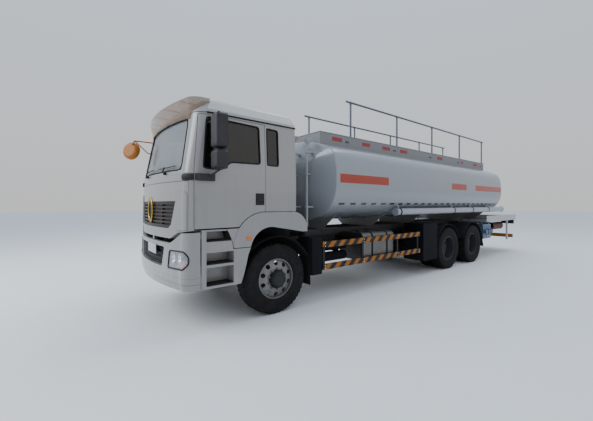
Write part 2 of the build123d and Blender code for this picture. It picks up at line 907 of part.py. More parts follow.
def entry_steps():
    """The step boxes fixed to the frame: three treads, and a rear seam that the cab swings past."""
    x0 = fender_outer - step_depth
    body = side_plate(
        [
            (step_front, step_bottom),
            (step_rear, step_bottom),
            (-590, 690),
            (-552, 830),
            (-520, 965),
            (arch_centre_y - arch_radius + 8, split_height - panel_gap),
            *tilt_edge(fender_foot - panel_gap, split_height - panel_gap),
            (step_front, sill_top),
        ],
        x0,
        fender_outer,
    )
    for z0, z1, rear in step_recesses:
        body -= block(x0 + step_wall, fender_outer + 10, step_front + 60, rear, z0, z1)
    body += block(frame_half + seat_gap, x0, -1000, -940, 800, 880)
    save("entry_steps", *both_sides(body))


# columns: height, half width, corner x, front middle, front at corner, side start, back
bumper_sections = (
    (bumper_bottom, 1205, 1040, -1480, -1360, -1250, -1180),
    (bumper_bottom + 110, 1240, 1060, -1505, -1385, -1262, -1180),
    (bumper_corner_top + 2, 1240, 1070, -1480, -1362, -1240, -1180),
)
lamp_outline = [(775, 835), (1150, 845), (1212, 910), (1212, 1010), (1165, 1072), (800, 1062)]
intake_outline = [(-575, 830), (575, 830), (635, 1095), (-635, 1095)]


def bumper():
    """The hollow bumper with its corner ends, lower grille opening and lamp pockets."""
    outer = cab_block(bumper_sections, 0)
    inner = cab_block(bumper_sections, bumper_wall, back_inset=-50)
    shell = outer - inner
    top = [
        (-1300, 2000),
        (-1300, bumper_corner_top),
        (-1080, bumper_corner_top - 12),
        (-930, 1215),
        (-800, bumper_middle_top),
        (800, bumper_middle_top),
        (930, 1215),
        (1080, bumper_corner_top - 12),
        (1300, bumper_corner_top),
        (1300, 2000),
    ]
    shell -= front_plate(top, -1700, -1100)
    shell -= front_plate(intake_outline, -1700, -1300, radius=25)
    for shape in both_sides(grown(lamp_outline, 0, "front", -1700, -1200)):
        shell -= shape
    brackets = None
    for side in (1, -1):
        x0 = side * (frame_half + 275)
        x1 = side * (frame_half + 215)
        plate = block(x0, x1, -1470, -1100, 800, 880)
        plate += block(x0, side * (frame_half + seat_gap), -1160, -1090, 800, 880)
        brackets = plate if brackets is None else brackets + plate
    save("bumper", shell + (brackets & (outer + block(-1000, 1000, -1300, -1000, 0, 2000))))
    lamp = outer - cab_block(bumper_sections, 90, back_inset=-50)
    lamp &= grown(lamp_outline, -seat_gap, "front", -1700, -1200)
    lamp_back = rear_reach - deck_plate - seat_gap
    rear = block(760, 1180, lamp_back - 70, lamp_back, 960, deck_top - deck_skirt + 40)
    save("lamps", *both_sides(lamp), *both_sides(rear))


def mirrors():
    """Door mirrors on their arms, the front mirror, and the sun visor."""
    case_front = mirror_y - mirror_depth / 2
    case_rear = mirror_y + mirror_depth / 2
    cases = []
    for z0, z1 in ((2365, 2790), (2105, 2335)):
        case = block(mirror_x - mirror_half, mirror_x + mirror_half, case_front, case_rear, z0, z1)
        case = fillet(case.edges().filter_by(Axis.Y), 45)
        cases.append(fillet(case.faces().sort_by(Axis.Y)[0].edges(), 38))
    main, wide = cases
    stem = rod((mirror_x, mirror_y, 2085), (mirror_x, mirror_y, 2820), 14)
    top_arm = rod((mirror_x, mirror_y, 2810), (1205, -1000, 2790), 14)
    low_arm = rod((mirror_x, mirror_y, 2092), (1250, -1080, 2010), 16)
    foot_outline = Polyline((1240 + seat_gap, -1244), (1278, -1203), (1285, -1190), (1285, -1005),
                            (1240 + seat_gap, -1005), close=True)
    foot = Pos(0, 0, 1960) * extrude(make_face(foot_outline), 90)
    mirror_set = main + wide + stem + top_arm + low_arm + foot
    for name, shape in zip(("left", "right"), both_sides(mirror_set)):
        save(f"mirror_{name}", shape)
    disc = Rot(90, 0, 0) * Cylinder(front_mirror_radius, 80)
    disc = fillet(disc.faces().sort_by(Axis.Y)[0].edges(), 60)
    head = Rot(0, 0, front_mirror_turn) * Rot(-8, 0, 0) * disc
    head = Pos(-1185, -front_reach - head.bounding_box().min.Y, 2610) * head
    knee = (-1045, -1500, 2765)
    bracket = rod((-1040, -1180, 2762), knee, 11)
    bracket += rod(knee, (-1160, -1530, 2690), 11)
    bracket += rod(knee, (-1000, -1300, 2560), 9)
    bracket += rod((-1000, -1300, 2560), (-985, -1200, 2560), 9)
    bracket -= cab_block(cab_sections, -seat_gap)
    save("front_mirror", head + bracket)


visor_sections = (
    (2795, 1115, 940, -1335, -1235, -1060, -1000),
    (3050, 1135, 960, -1372, -1270, -1090, -990),
)


def visor_front(x, section):
    """Where a bracket ends inside the visor band at a distance from the middle."""
    bow = section[4] - section[3]
    return section[3] + bow * (x / section[2]) ** 2 + 3


def visor():
    """A curved sun visor in front of the roof, held by short brackets."""
    band = cab_block(visor_sections, 0) - cab_block(visor_sections, 8, back_inset=-50)
    band -= block(-1300, 1300, -1012, 400, 2000, 4000)
    band -= block(-1090, 1090, -1060, 400, 2000, 4000)
    for x in (-800, -270, 270, 800):
        band += rod((x, -1000, 3035), (x, visor_front(x, visor_sections[1]), 3035), 9)
        band += rod((x, -1150, 2805), (x, visor_front(x, visor_sections[0]), 2805), 9)
    band -= cab_block(cab_sections, -seat_gap)
    band -= cab_block(roof_sections, -seat_gap)
    save("sun_visor", band)


def tank_outline(station, inset, scale):
    """The tank's section: crown, shoulders, sides, bilges and bottom, all tangent arcs."""
    a = (tank_half_width - inset) * scale
    b = (tank_half_height - inset) * scale
    crown = (tank_crown_radius - inset) * scale
    side = (tank_side_radius - inset) * scale
    points = {}
    mids = {}
    for key, corner in (("top", tank_shoulder_radius), ("low", tank_bilge_radius)):
        r = (corner - inset) * scale
        c1 = (0, b - crown)
        c2 = (a - side, 0)
        r1 = crown - r
        r2 = side - r
        dx = c2[0] - c1[0]
        dz = c2[1] - c1[1]
        d = math.hypot(dx, dz)
        along = (r1 * r1 - r2 * r2 + d * d) / (2 * d)
        off = math.sqrt(r1 * r1 - along * along)
        choices = []
        for sign in (1, -1):
            choices.append(
                (
                    c1[0] + along * dx / d + sign * off * dz / d,
                    c1[1] + along * dz / d - sign * off * dx / d,
                )
            )
        p = max(choices, key=lambda q: q[0] + q[1])
        t1 = (c1[0] + (p[0] - c1[0]) * crown / r1, c1[1] + (p[1] - c1[1]) * crown / r1)
        t2 = (c2[0] + (p[0] - c2[0]) * side / r2, c2[1] + (p[1] - c2[1]) * side / r2)
        mx = (t1[0] + t2[0]) / 2 - p[0]
        mz = (t1[1] + t2[1]) / 2 - p[1]
        m = math.hypot(mx, mz)
        points[key] = (t1, t2)
        mids[key] = (p[0] + mx / m * r, p[1] + mz / m * r)

    def at(x, z):
        return (x, station, tank_middle + z)

    (t1, t2), m = points["top"], mids["top"]
    (u1, u2), n = points["low"], mids["low"]
    edges = [
        ThreePointArc(at(-t1[0], t1[1]), at(0, b), at(t1[0], t1[1])),
        ThreePointArc(at(t1[0], t1[1]), at(m[0], m[1]), at(t2[0], t2[1])),
        ThreePointArc(at(t2[0], t2[1]), at(a, 0), at(u2[0], -u2[1])),
        ThreePointArc(at(u2[0], -u2[1]), at(n[0], -n[1]), at(u1[0], -u1[1])),
        ThreePointArc(at(u1[0], -u1[1]), at(0, -b), at(-u1[0], -u1[1])),
        ThreePointArc(at(-u1[0], -u1[1]), at(-n[0], -n[1]), at(-u2[0], -u2[1])),
        ThreePointArc(at(-u2[0], -u2[1]), at(-a, 0), at(-t2[0], t2[1])),
        ThreePointArc(at(-t2[0], t2[1]), at(-m[0], m[1]), at(-t1[0], t1[1])),
    ]
    return make_face(Wire(edges))


# How the dished heads draw in: share of the depth, inset, scale
head_sections = ((0.0, 0, 1.0), (0.06, 14, 1.0), (0.52, 14, 0.72), (0.85, 14, 0.42), (1.0, 14, 0.12))


def tank_head(seam, direction):
    """A shallow dome that springs from its seam at a clear edge."""
    faces = [
        tank_outline(seam + direction * share * head_depth, inset, scale)
        for share, inset, scale in head_sections
    ]
    return loft(faces[:2], ruled=True) + loft(faces[1:])


def tank():
    """The oval tank with a dished head at each end."""
    ends = [tank_outline(seam, 0, 1) for seam in (tank_front_seam, tank_rear_seam)]
    shell = loft(ends, ruled=True) + tank_head(tank_front_seam, -1) + tank_head(tank_rear_seam, 1)
    save("tank", shell)
    return shell


def body_mounting(tank_solid):
    """Sills on the frame rails and curved saddles under the tank."""
    sills = []
    for side in (1, -1):
        x0 = side * frame_half
        x1 = side * (frame_half - subframe_width)
        sills.append(block(x0, x1, tank_front_seam - 60, frame_rear, frame_top, subframe_top))
    saddles = []
    for station in saddle_stations:
        web = front_plate(
            [
                (-frame_half - 60, subframe_top),
                (frame_half + 60, subframe_top),
                (1020, 1560),
                (1080, 1700),
                (-1080, 1700),
                (-1020, 1560),
            ],
            station - saddle_thick / 2,
            station + saddle_thick / 2,
        )
        foot = block(-frame_half, frame_half, station - 60, station + 60, subframe_top, subframe_top + 15)
        saddles.append(web + foot - tank_solid)
    whole = saddles[0] + saddles[1:] + sills
    save("tank_mounts", whole)


def top_works(tank_solid):
    """Coaming on the tank's top, with manholes, walkway, posts and hand rails."""
    ring = block(-coaming_half, coaming_half, coaming_front, coaming_rear, 2700, coaming_top)
    ring -= block(
        -coaming_half + coaming_wall,
        coaming_half - coaming_wall,
        coaming_front + coaming_wall,
        coaming_rear - coaming_wall,
        2600,
        coaming_top + 1,
    )
    necks = []
    for i in range(manhole_count):
        y = manhole_first + manhole_pitch * i
        neck = rod((0, y, 2800), (0, y, manhole_top), manhole_radius)
        hinge_y = y + manhole_hinge_offset
        neck += block(-66, 66, y + manhole_radius - 20, hinge_y + 20, 2860, manhole_top - 60)
        for side in (1, -1):
            x0 = side * (manhole_tongue + door_gap / 2)
            neck += block(x0, side * 66, hinge_y - 20, hinge_y + 20, 2860, manhole_hinge_z)
            neck += rod((x0, hinge_y, manhole_hinge_z), (side * 66, hinge_y, manhole_hinge_z), 20)
        pin_ends = ((-66, hinge_y, manhole_hinge_z), (66, hinge_y, manhole_hinge_z))
        neck -= rod(*pin_ends, manhole_pin + seat_gap)
        necks.append(neck - tank_solid)
    save("coaming", ring - tank_solid, *necks)
    for i in range(manhole_count):
        y = manhole_first + manhole_pitch * i
        lid = rod((0, y, manhole_top + seat_gap), (0, y, manhole_top + 30), manhole_radius - 10)
        hinge_y = y + manhole_hinge_offset
        tongue = block(-25, 25, y + 100, hinge_y, manhole_top + 4, manhole_top + 26)
        tongue += rod((-66, hinge_y, manhole_hinge_z), (66, hinge_y, manhole_hinge_z), manhole_pin)
        save(f"manhole_lid_{i + 1}", lid + tongue)
    rails = []
    for side in (1, -1):
        x = side * (coaming_half - coaming_wall - hand_rail_radius - seat_gap)
        last = rail_post_first + rail_post_pitch * (rail_post_count - 1)
        rail_front = (x, rail_post_first - 130, hand_rail_height)
        bars = rod(rail_front, (x, last + 90, hand_rail_height), hand_rail_radius)
        for i in range(rail_post_count):
            y = rail_post_first + rail_post_pitch * i
            bars += rod((x, y, 2860), (x, y, hand_rail_height), hand_rail_radius)
        rails.append(bars)
    return rails


def side_equipment(tank_solid):
    """Hose tubes, side guards, fuel tank, battery box and air tanks."""
    tubes = []
    for side in (1, -1):
        x = side * hose_tube_x
        front = (x, hose_tube_front, hose_tube_z)
        rear = (x, hose_tube_rear, hose_tube_z)
        tube = rod(front, rear, hose_tube_radius)
        tube += rod((x, hose_tube_front - 12, hose_tube_z), front, hose_tube_radius + 6)
        tube += rod(rear, (x, hose_tube_rear + 12, hose_tube_z), hose_tube_radius + 6)
        for station in hose_tube_clips:
            clip = front_plate(
                [
                    (side * 940, hose_tube_z + 20),
                    (x, hose_tube_z + 20),
                    (x, hose_tube_z + hose_tube_radius + 10),
                    (side * 1060, 1720),
                    (side * 940, 1720),
                ],
                station - 20,
                station + 20,
            )
            tube += clip - rod(front, rear, hose_tube_radius - 2) - tank_solid
        tubes.append(tube)
    save("hose_tubes", *tubes)
    guards = []
    for side in (1, -1):
        x0 = side * guard_x
        x1 = side * (guard_x - guard_bar_thick)
        guard = block(x0, x1, guard_front, guard_rear, guard_top - guard_bar_depth, guard_top)
        guard += block(x0, x1, guard_front, guard_rear, guard_low - guard_bar_depth, guard_low)
        for y in guard_posts:
            guard += block(x1, side * (guard_x - 60), y, y + 50, guard_low - guard_bar_depth, guard_top)
            guard += block(side * (guard_x - 60), side * (frame_half + seat_gap), y, y + 50, 965, 1015)
        guards.append(guard)
    save("side_guards", *guards)
    box_top = 925
    box_low = 560
    fuel = block(470, 1120, fuel_front, fuel_rear, box_low, fuel_top)
    save("fuel_tank", fillet(fuel.edges().filter_by(Axis.Y), 90))
    battery = block(-1120, -470, 2010, 2800, box_low, box_top)
    brackets = []
    for side in (1, -1):
        for y in (2150, 2650):
            frame_side = side * (frame_half + seat_gap)
            arm = block(frame_side, side * (470 - seat_gap), y, y + 60, box_low - 40, 1040)
            arm += block(frame_side, side * 1100, y, y + 60, box_low - 40, box_low - seat_gap)
            brackets.append(arm)
    save("tank_brackets", *brackets)
    flasks = []
    for side in (1, -1):
        x = side * 800
        for z in (680, 880):
            flasks.append(rod((x, 1080, z), (x, 1780, z), 90))
        for y in (1200, 1600):
            hanger = block(side * (frame_half + seat_gap), x, y, y + 40, 760, 800)
            flasks[-1] += hanger
            flasks[-2] += hanger
        merged = flasks.pop() + flasks.pop()
        flasks.append(merged)
    boxes = [battery]
    for side in (1, -1):
        locker = block(side * 1235, side * 700, 3960, 4585, 335, 1205)
        locker += block(side * 700, side * (frame_half + seat_gap), 4100, 4160, 800, 900)
        boxes.append(locker)
    save("lockers", *boxes)
    return flasks


def mudguards():
    """Arched guards over the bogie, and flaps behind the front wheels."""
    guards = []
    ride = mudguard_radius
    for side in (1, -1):
        x0 = side * (rear_track_half - 330)
        x1 = side * (rear_track_half + 315)
        shell = None
        for station in (bogie_front, bogie_rear):
            start = (x0, station, wheel_height)
            end = (x1, station, wheel_height)
            inner = rod(start, end, ride - mudguard_wall)
            arch = rod(start, end, ride) - inner
            arch -= block(-1400, 1400, station - 2 * ride, station + 2 * ride, -200, mudguard_low)
            arm_end = side * (frame_half + seat_gap)
            arm = block(arm_end, x0 + side * 200, station - 20, station + 20, 1135, subframe_top - 5)
            arch += arm - inner
            shell = arch if shell is None else shell + arch
        edge = bogie_rear + ride - 46
        flap = side_plate(
            [
                (edge, mudguard_low + 20),
                (edge + mudguard_wall, mudguard_low + 16),
                (edge + 130, 400),
                (edge + 130 - mudguard_wall, 400),
            ],
            min(x0, x1),
            max(x0, x1),
        )
        guards.append(shell + flap)
    for side in (1, -1):
        x0 = side * 860
        x1 = side * 1160
        flap = block(x0, x1, 640, 650, 330, 1120)
        flap += block(side * (frame_half + seat_gap), x0, 640, 665, 900, 960)
        guards.append(flap)
    save("mudguards", *guards)


def rear_end():
    """Rear deck with its skirts, pump set, reel, underrun bar, lamps and ladder."""
    skirt_low = deck_top - deck_skirt
    deck = block(-deck_half, deck_half, deck_plate_front, rear_reach, deck_top - deck_plate, deck_top)
    for side in (1, -1):
        x0 = side * deck_half
        x1 = side * (deck_half - deck_plate)
        deck += block(x0, x1, deck_front, rear_reach, skirt_low, deck_top)
        for y in (deck_front + 100, deck_front + 700):
            deck += block(x1, side * (frame_half + seat_gap), y, y + 40, subframe_top - 60, subframe_top - 10)
    deck += block(-deck_half, deck_half, rear_reach - deck_plate, rear_reach, skirt_low, deck_top)
    for y in (deck_plate_front + 60, 9300, frame_rear - 60):
        deck += block(-deck_half, deck_half, y, y + 30, subframe_top, deck_top)
    for side in (1, -1):
        deck += block(side * 1150, side * 1200, 9330, 9380, 450, skirt_low + 40)
        deck += block(side * 1150, side * (deck_half - deck_plate), 9330, 9380, skirt_low, skirt_low + 40)
    save("rear_deck", deck)

    pump = block(900, 1180, 7390, 7970, 600, 1040)
    for y in outlet_stations:
        pump += rod((1180, y, outlet_height), (1192, y, outlet_height), outlet_radius + 30)
        pump += rod((1192, y, outlet_height), (1192 + outlet_length, y, outlet_height), outlet_radius)
        pump -= rod((1120, y, outlet_height), (1192 + outlet_length, y, outlet_height), outlet_bore)
    pump += block(frame_half + seat_gap, 900, 7600, 7700, 860, 940)
    save("valve_box", pump)
    reel = rod((reel_x, reel_front, reel_z), (reel_x, reel_rear, reel_z), 105)
    for y in (reel_front, reel_rear - 20):
        reel += rod((reel_x, y, reel_z), (reel_x, y + 20, reel_z), 128)
    reel += block(frame_half + seat_gap, reel_x - 50, 8900, 8960, reel_z - 30, reel_z + 30)

    bar = block(-1180, 1180, frame_rear - 40, frame_rear + 60, 480, 600)
    for side in (1, -1):
        x0 = side * (frame_half - 90)
        x1 = side * (frame_half - 10)
        bar += block(x0, x1, frame_rear - 40, frame_rear + 20, 600, frame_bottom - seat_gap)
    save("underrun_bar", bar)
    ladder = []
    for x in (-520, -140):
        ladder.append(rod((x, 9000, deck_top), (x, 9000, 3300), 18))
    rungs = [rod((-520, 9000, z), (-140, 9000, z), 14) for z in range(1560, 3300, 290)]
    ladder = ladder[0] + ladder[1] + rungs
    for x in (-520, -140):
        ladder += rod((x, 9000, 2990), (x, coaming_rear + seat_gap, 2990), 16)
    return reel, ladder


def build():
    for side, name in ((1, "left"), (-1, "right")):
        front_wheel(side, name)
        twin_wheel(side, bogie_front, f"first_{name}")
        twin_wheel(side, bogie_rear, f"second_{name}")
    steering()
    chassis()
    suspension()
    driveline()
    cab()
    interior()
    fenders()
    entry_steps()
    bumper()
    mirrors()
    visor()
    tank_solid = tank()
    body_mounting(tank_solid)
    rails = top_works(tank_solid)
    flasks = side_equipment(tank_solid)
    mudguards()
    drum, ladder = rear_end()
    save("hand_rails", *rails, ladder)
    save("air_tanks", *flasks, drum)


build()
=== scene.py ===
import math

import bmesh
import bpy
from mathutils import Matrix, Vector


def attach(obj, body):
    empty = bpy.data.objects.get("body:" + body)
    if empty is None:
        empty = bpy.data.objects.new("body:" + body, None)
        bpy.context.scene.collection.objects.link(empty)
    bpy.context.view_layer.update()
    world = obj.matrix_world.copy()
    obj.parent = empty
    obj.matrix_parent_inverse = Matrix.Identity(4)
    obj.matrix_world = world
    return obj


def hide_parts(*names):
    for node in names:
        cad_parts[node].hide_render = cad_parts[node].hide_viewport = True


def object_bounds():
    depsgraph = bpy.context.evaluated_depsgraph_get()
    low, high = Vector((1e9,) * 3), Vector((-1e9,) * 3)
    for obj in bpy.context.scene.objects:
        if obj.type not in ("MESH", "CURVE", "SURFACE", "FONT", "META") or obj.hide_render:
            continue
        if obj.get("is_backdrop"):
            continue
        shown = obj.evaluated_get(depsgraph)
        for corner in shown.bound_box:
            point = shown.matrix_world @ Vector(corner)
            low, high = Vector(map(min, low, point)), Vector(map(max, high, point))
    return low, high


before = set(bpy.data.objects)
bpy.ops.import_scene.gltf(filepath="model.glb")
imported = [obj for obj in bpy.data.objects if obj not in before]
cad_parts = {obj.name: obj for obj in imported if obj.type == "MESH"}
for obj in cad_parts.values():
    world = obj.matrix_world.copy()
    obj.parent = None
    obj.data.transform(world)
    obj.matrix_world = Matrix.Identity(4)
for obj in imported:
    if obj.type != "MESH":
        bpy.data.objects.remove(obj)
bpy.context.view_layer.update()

# The truck faces -Y. Stations along its length are counted in metres from the front axle.
MIDDLE = 4.215
AXLE_HEIGHT = 0.532
FRONT_WHEEL_X = 1.018
REAR_WHEEL_X = 0.925
TWIN_HALF = 0.170
BOGIE = (5.175, 6.575)
SIDES = ((1, "left"), (-1, "right"))
UP = Vector((0, 0, 1))


def st(station):
    """Y of a station."""
    return station - MIDDLE


# Camera, where the photograph was taken from
CAMERA_PLACE = (5.1885, -6.7936, 1.667)
CAMERA_AHEAD = (-0.7593, 0.6507, -0.0031)
camera = bpy.data.objects.new("camera", bpy.data.cameras.new("camera"))
bpy.context.collection.objects.link(camera)
bpy.context.scene.camera = camera
camera.data.sensor_width = 36
camera.data.lens = 18.942
camera.data.shift_x = -0.0407
camera.data.shift_y = -0.0093
camera.data.clip_end = 200
ahead = Vector(CAMERA_AHEAD).normalized()
across = ahead.cross(UP).normalized()
above = across.cross(ahead)
aim = Matrix((across, above, -ahead)).transposed().to_4x4()
camera.matrix_world = Matrix.Translation(CAMERA_PLACE) @ aim


# Shader maths: a signal is one output, and the operators make the nodes
class Signal:
    def __init__(self, finish, socket):
        self.finish = finish
        self.socket = socket

    def maths(self, operation, first, second=0.0):
        return self.finish.node("Math", {"operation": operation}, {0: first, 1: second})

    def __add__(self, other):
        return self.maths("ADD", self, other)

    __radd__ = __add__

    def __sub__(self, other):
        return self.maths("SUBTRACT", self, other)

    def __rsub__(self, other):
        return self.maths("SUBTRACT", other, self)

    def __mul__(self, other):
        return self.maths("MULTIPLY", self, other)

    __rmul__ = __mul__

    def __gt__(self, other):
        return self.maths("GREATER_THAN", self, other)

    def __lt__(self, other):
        return self.maths("LESS_THAN", self, other)

    def __mod__(self, other):
        return self.maths("FLOORED_MODULO", self, other)

    def size(self):
        return self.maths("ABSOLUTE", self)

    def between(self, low, high):
        return (self > low) * (self < high)

    def ramp(self, low, high):
        """Rises evenly from 0 at low to 1 at high."""
        return self.finish.node(
            "MapRange", {"clamp": True}, {0: self, 1: low, 2: high, 3: 0.0, 4: 1.0}
        )


def socket_name(key):
    """The shader's own name of a socket, from a keyword."""
    return key.replace("_", " ").title().replace("Ior", "IOR")


class Finish:
    """One material. Its method node makes any shader node."""

    NOISE_ROUGHNESS = 0.55

    def __init__(self, name, colour=(0.8, 0.8, 0.8), roughness=0.5, metallic=0.0, **fixed):
        self.material = bpy.data.materials.new(name)
        self.material.use_nodes = True
        self.tree = self.material.node_tree
        self.shader = self.tree.nodes["Principled BSDF"]
        self.shader.inputs["Base Color"].default_value = (*colour, 1)
        self.shader.inputs["Roughness"].default_value = roughness
        self.shader.inputs["Metallic"].default_value = metallic
        for key, value in fixed.items():
            self.shader.inputs[socket_name(key)].default_value = value
        self.coordinates = self.tree.nodes.new("ShaderNodeTexCoord")

    def node(self, kind, settings, values, output=0):
        made = self.tree.nodes.new("ShaderNode" + kind)
        for key, value in settings.items():
            setattr(made, key, value)
        for key, value in values.items():
            if isinstance(value, Signal):
                self.tree.links.new(value.socket, made.inputs[key])
            else:
                made.inputs[key].default_value = value
        return Signal(self, made.outputs[output])

    def place(self):
        """Object coordinates."""
        return Signal(self, self.coordinates.outputs["Object"])

    def axes(self):
        return [self.node("SeparateXYZ", {}, {0: self.place()}, output=i) for i in range(3)]

    def noise(self, scale, detail=3.0, stretch=(1, 1, 1)):
        """Cloudy noise, finer along an axis that is stretched more."""
        point = self.node("Mapping", {}, {0: self.place(), 3: stretch})
        values = {0: point, "Scale": scale, "Detail": detail, "Roughness": self.NOISE_ROUGHNESS}
        return self.node("TexNoise", {}, values)

    def blend(self, factor, first, second):
        """First where the factor is 0 and second where it is 1."""
        first = (*first, 1) if isinstance(first, tuple) else first
        second = (*second, 1) if isinstance(second, tuple) else second
        return self.node("Mix", {"data_type": "RGBA"}, {0: factor, 6: first, 7: second}, output=2)

    def set(self, **links):
        for key, value in links.items():
            self.tree.links.new(value.socket, self.shader.inputs[socket_name(key)])
        return self

    def bump(self, height, strength, distance):
        values = {"Height": height, "Strength": strength, "Distance": distance}
        return self.set(normal=self.node("Bump", {}, values))


def dimmed(colour, share, lift=0.0):
    """A colour times a share, with the same small lift in each channel."""
    return tuple(share * c + lift for c in colour)


# Finishes of this truck
def paint(name, colour, roughness=0.28, dust=0.35, coat=0.5, marks=None, **fixed):
    """Sprayed paint: slow drift of tone, orange peel, and road dust that thickens downwards."""
    finish = Finish(name, colour, roughness, coat_weight=coat, coat_roughness=0.08, **fixed)
    x, y, z = finish.axes()
    drift = finish.noise(1.4, 2)
    speck = finish.noise(38, 4)
    runs = finish.noise(5, 5, stretch=(3, 3, 0.35))
    base = finish.blend(drift * 0.35, colour, dimmed(colour, 0.86))
    if marks:
        base = marks(finish, base, x, y, z)
    near = 1 - z.ramp(0.25, 2.0)
    soil = (near * 0.8 + 0.2) * runs.ramp(0.35, 0.8) * dust + speck.ramp(0.62, 0.8) * dust * 0.25
    red, green, blue = colour
    base = finish.blend(soil, base, (0.42 * red + 0.018, 0.37 * green + 0.015, 0.31 * blue + 0.012))
    finish.set(base_color=base, roughness=roughness + soil * 0.6 + speck * 0.05)
    return finish.bump(finish.noise(260, 2) * 0.04 + finish.noise(14, 2) * 0.4, 0.12, 0.001)


def rough_metal(name, colour, roughness=0.6, metallic=0.3, grain=60.0, rust=0.2):
    """Cast or satin painted steel, with grime and a little rust."""
    finish = Finish(name, colour, roughness, metallic)
    patches = finish.noise(7, 6)
    fine = finish.noise(grain, 4)
    base = finish.blend(patches.ramp(0.4, 0.75) * 0.6, colour, dimmed(colour, 1.6, 0.012))
    base = finish.blend(finish.noise(11, 7).ramp(0.66, 0.8) * rust, base, (0.16, 0.065, 0.025))
    finish.set(base_color=base, roughness=roughness + patches * 0.3 - 0.1)
    return finish.bump(fine + patches * 0.5, 0.25, 0.002)


def moulded(name, colour, roughness=0.55, grain=420.0, dust=0.25):
    """Moulded plastic or rubber with a fine grain and pale dust."""
    finish = Finish(name, colour, roughness, specular_ior_level=0.3)
    haze = finish.noise(6, 5)
    base = finish.blend(haze.ramp(0.4, 0.85) * dust, colour, dimmed(colour, 1.5, 0.03))
    finish.set(base_color=base, roughness=roughness + haze * 0.25 - 0.08)
    return finish.bump(finish.noise(grain, 2), 0.2, 0.0006)


# Marks on the paint: spans are stations, heights are in metres
STRIPES = ((1.24, 2.62), (5.27, 6.11), (6.67, 8.58))
STRIPE_HEIGHTS = (2.045, 2.205)
DASHES = ((1.24, 8.43),)
DASH_HEIGHTS = (1.652, 1.690)
DASH_STEP = 0.3
WELDS = (1.17, 3.03, 4.89, 6.75, 8.60)
LABELS = (
    (1.54, 1.82), (2.41, 2.67), (3.09, 3.38), (3.77, 4.07), (5.50, 5.80), (6.93, 7.06), (7.76, 8.06),
)
LABEL_HEIGHTS = (2.900, 2.982)
COAMING_INSIDE = 0.70
SILL_TOP = 1.174
GUARD_FACE = 1.172
GUARD_BARS = ((0.54, 0.65), (0.92, 1.03))
UNDERRUN_START = 8.7
SLANT_STEP = 0.24
PHASE = 20


def along(y, spans):
    """1 on the spans of stations, and 0 elsewhere."""
    parts = [y.between(st(start), st(end)) for start, end in spans]
    return sum(parts[1:], parts[0])


def tank_marks(finish, base, x, y, z):
    """Orange stripes in three lengths, a row of dark dashes, and weld seams drawn as faint pale lines, a
    painted highlight.
    """
    fade = finish.noise(9, 4)
    orange = finish.blend(fade * 0.4, (0.33, 0.022, 0.003), (0.26, 0.024, 0.006))
    base = finish.blend(z.between(*STRIPE_HEIGHTS) * along(y, STRIPES), base, orange)
    dash = z.between(*DASH_HEIGHTS) * along(y, DASHES) * (((y + PHASE) % DASH_STEP) < DASH_STEP / 2)
    base = finish.blend(dash, base, (0.012, 0.012, 0.014))
    # Painted highlight: the weld seams are lightened towards a pale blue, as the beads catch the light.
    seam_highlights = [((y - st(station)).size() < 0.006) * 0.35 for station in WELDS]
    return finish.blend(sum(seam_highlights[1:], seam_highlights[0]), base, (0.30, 0.31, 0.34))


def coaming_marks(finish, base, x, y, z):
    """Blank red labels along the side, with worn paint."""
    shown = along(y, LABELS) * z.between(*LABEL_HEIGHTS) * (x.size() > COAMING_INSIDE)
    worn = finish.noise(26, 4).ramp(0.45, 0.75)
    red = finish.blend(worn * 0.5, (0.30, 0.018, 0.016), (0.22, 0.05, 0.045))
    return finish.blend(shown, base, red)


def mount_marks(finish, base, x, y, z):
    """The long sills below the saddle plates are dark."""
    return finish.blend(z < SILL_TOP, base, (0.020, 0.020, 0.023))


def bumper_marks(finish, base, x, y, z):
    """The two mould lines that run round the bumper."""
    line = ((z - 0.655).size() < 0.004) + ((z - 0.735).size() < 0.003) * 0.5
    return finish.blend(line, base, (0.10, 0.10, 0.11))


def hazard(name):
    """Yellow and black slanted stripes with worn edges, on the long bars; posts are black."""
    black = (0.010, 0.009, 0.010)
    finish = Finish(name, black, 0.5, specular_ior_level=0.3)
    x, y, z = finish.axes()
    edge = finish.noise(24, 4) * 0.012
    slant = ((y + PHASE - z * 0.9 + edge) % SLANT_STEP) < SLANT_STEP / 2
    worn = finish.noise(9, 6).ramp(0.55, 0.8)
    yellow = finish.blend(worn * 0.6, (0.30, 0.105, 0.008), (0.14, 0.07, 0.02))
    lower, upper = (z.between(*heights) for heights in GUARD_BARS)
    bars = (x.size() > GUARD_FACE) * (lower + upper) + (y > st(UNDERRUN_START))
    finish.set(base_color=finish.blend(bars, black, finish.blend(slant, yellow, black)))
    finish.set(roughness=0.45 + worn * 0.35)
    return finish.bump(finish.noise(90, 3), 0.1, 0.001)


def tyre_rubber(name):
    """Black rubber, greyed by dust in patches."""
    black = (0.008, 0.008, 0.009)
    finish = Finish(name, black, 0.75, specular_ior_level=0.2)
    dusty = finish.noise(8, 6)
    base = finish.blend(dusty.ramp(0.45, 0.8) * 0.4, black, (0.040, 0.034, 0.030))
    finish.set(base_color=base, roughness=0.65 + dusty * 0.25)
    return finish.bump(finish.noise(180, 3) + finish.noise(30, 2) * 0.5, 0.2, 0.001)


def brushed(name, colour, roughness=0.3):
    """Bare metal with brush marks and water spots."""
    finish = Finish(name, colour, roughness, 1.0)
    lines = finish.noise(9, 6, stretch=(60, 2, 60))
    spots = finish.noise(14, 4)
    base = finish.blend(spots.ramp(0.5, 0.8) * 0.5, colour, dimmed(colour, 0.6))
    finish.set(base_color=base, roughness=roughness + lines * 0.25 + spots * 0.1 - 0.1)
    return finish.bump(lines, 0.08, 0.0006)


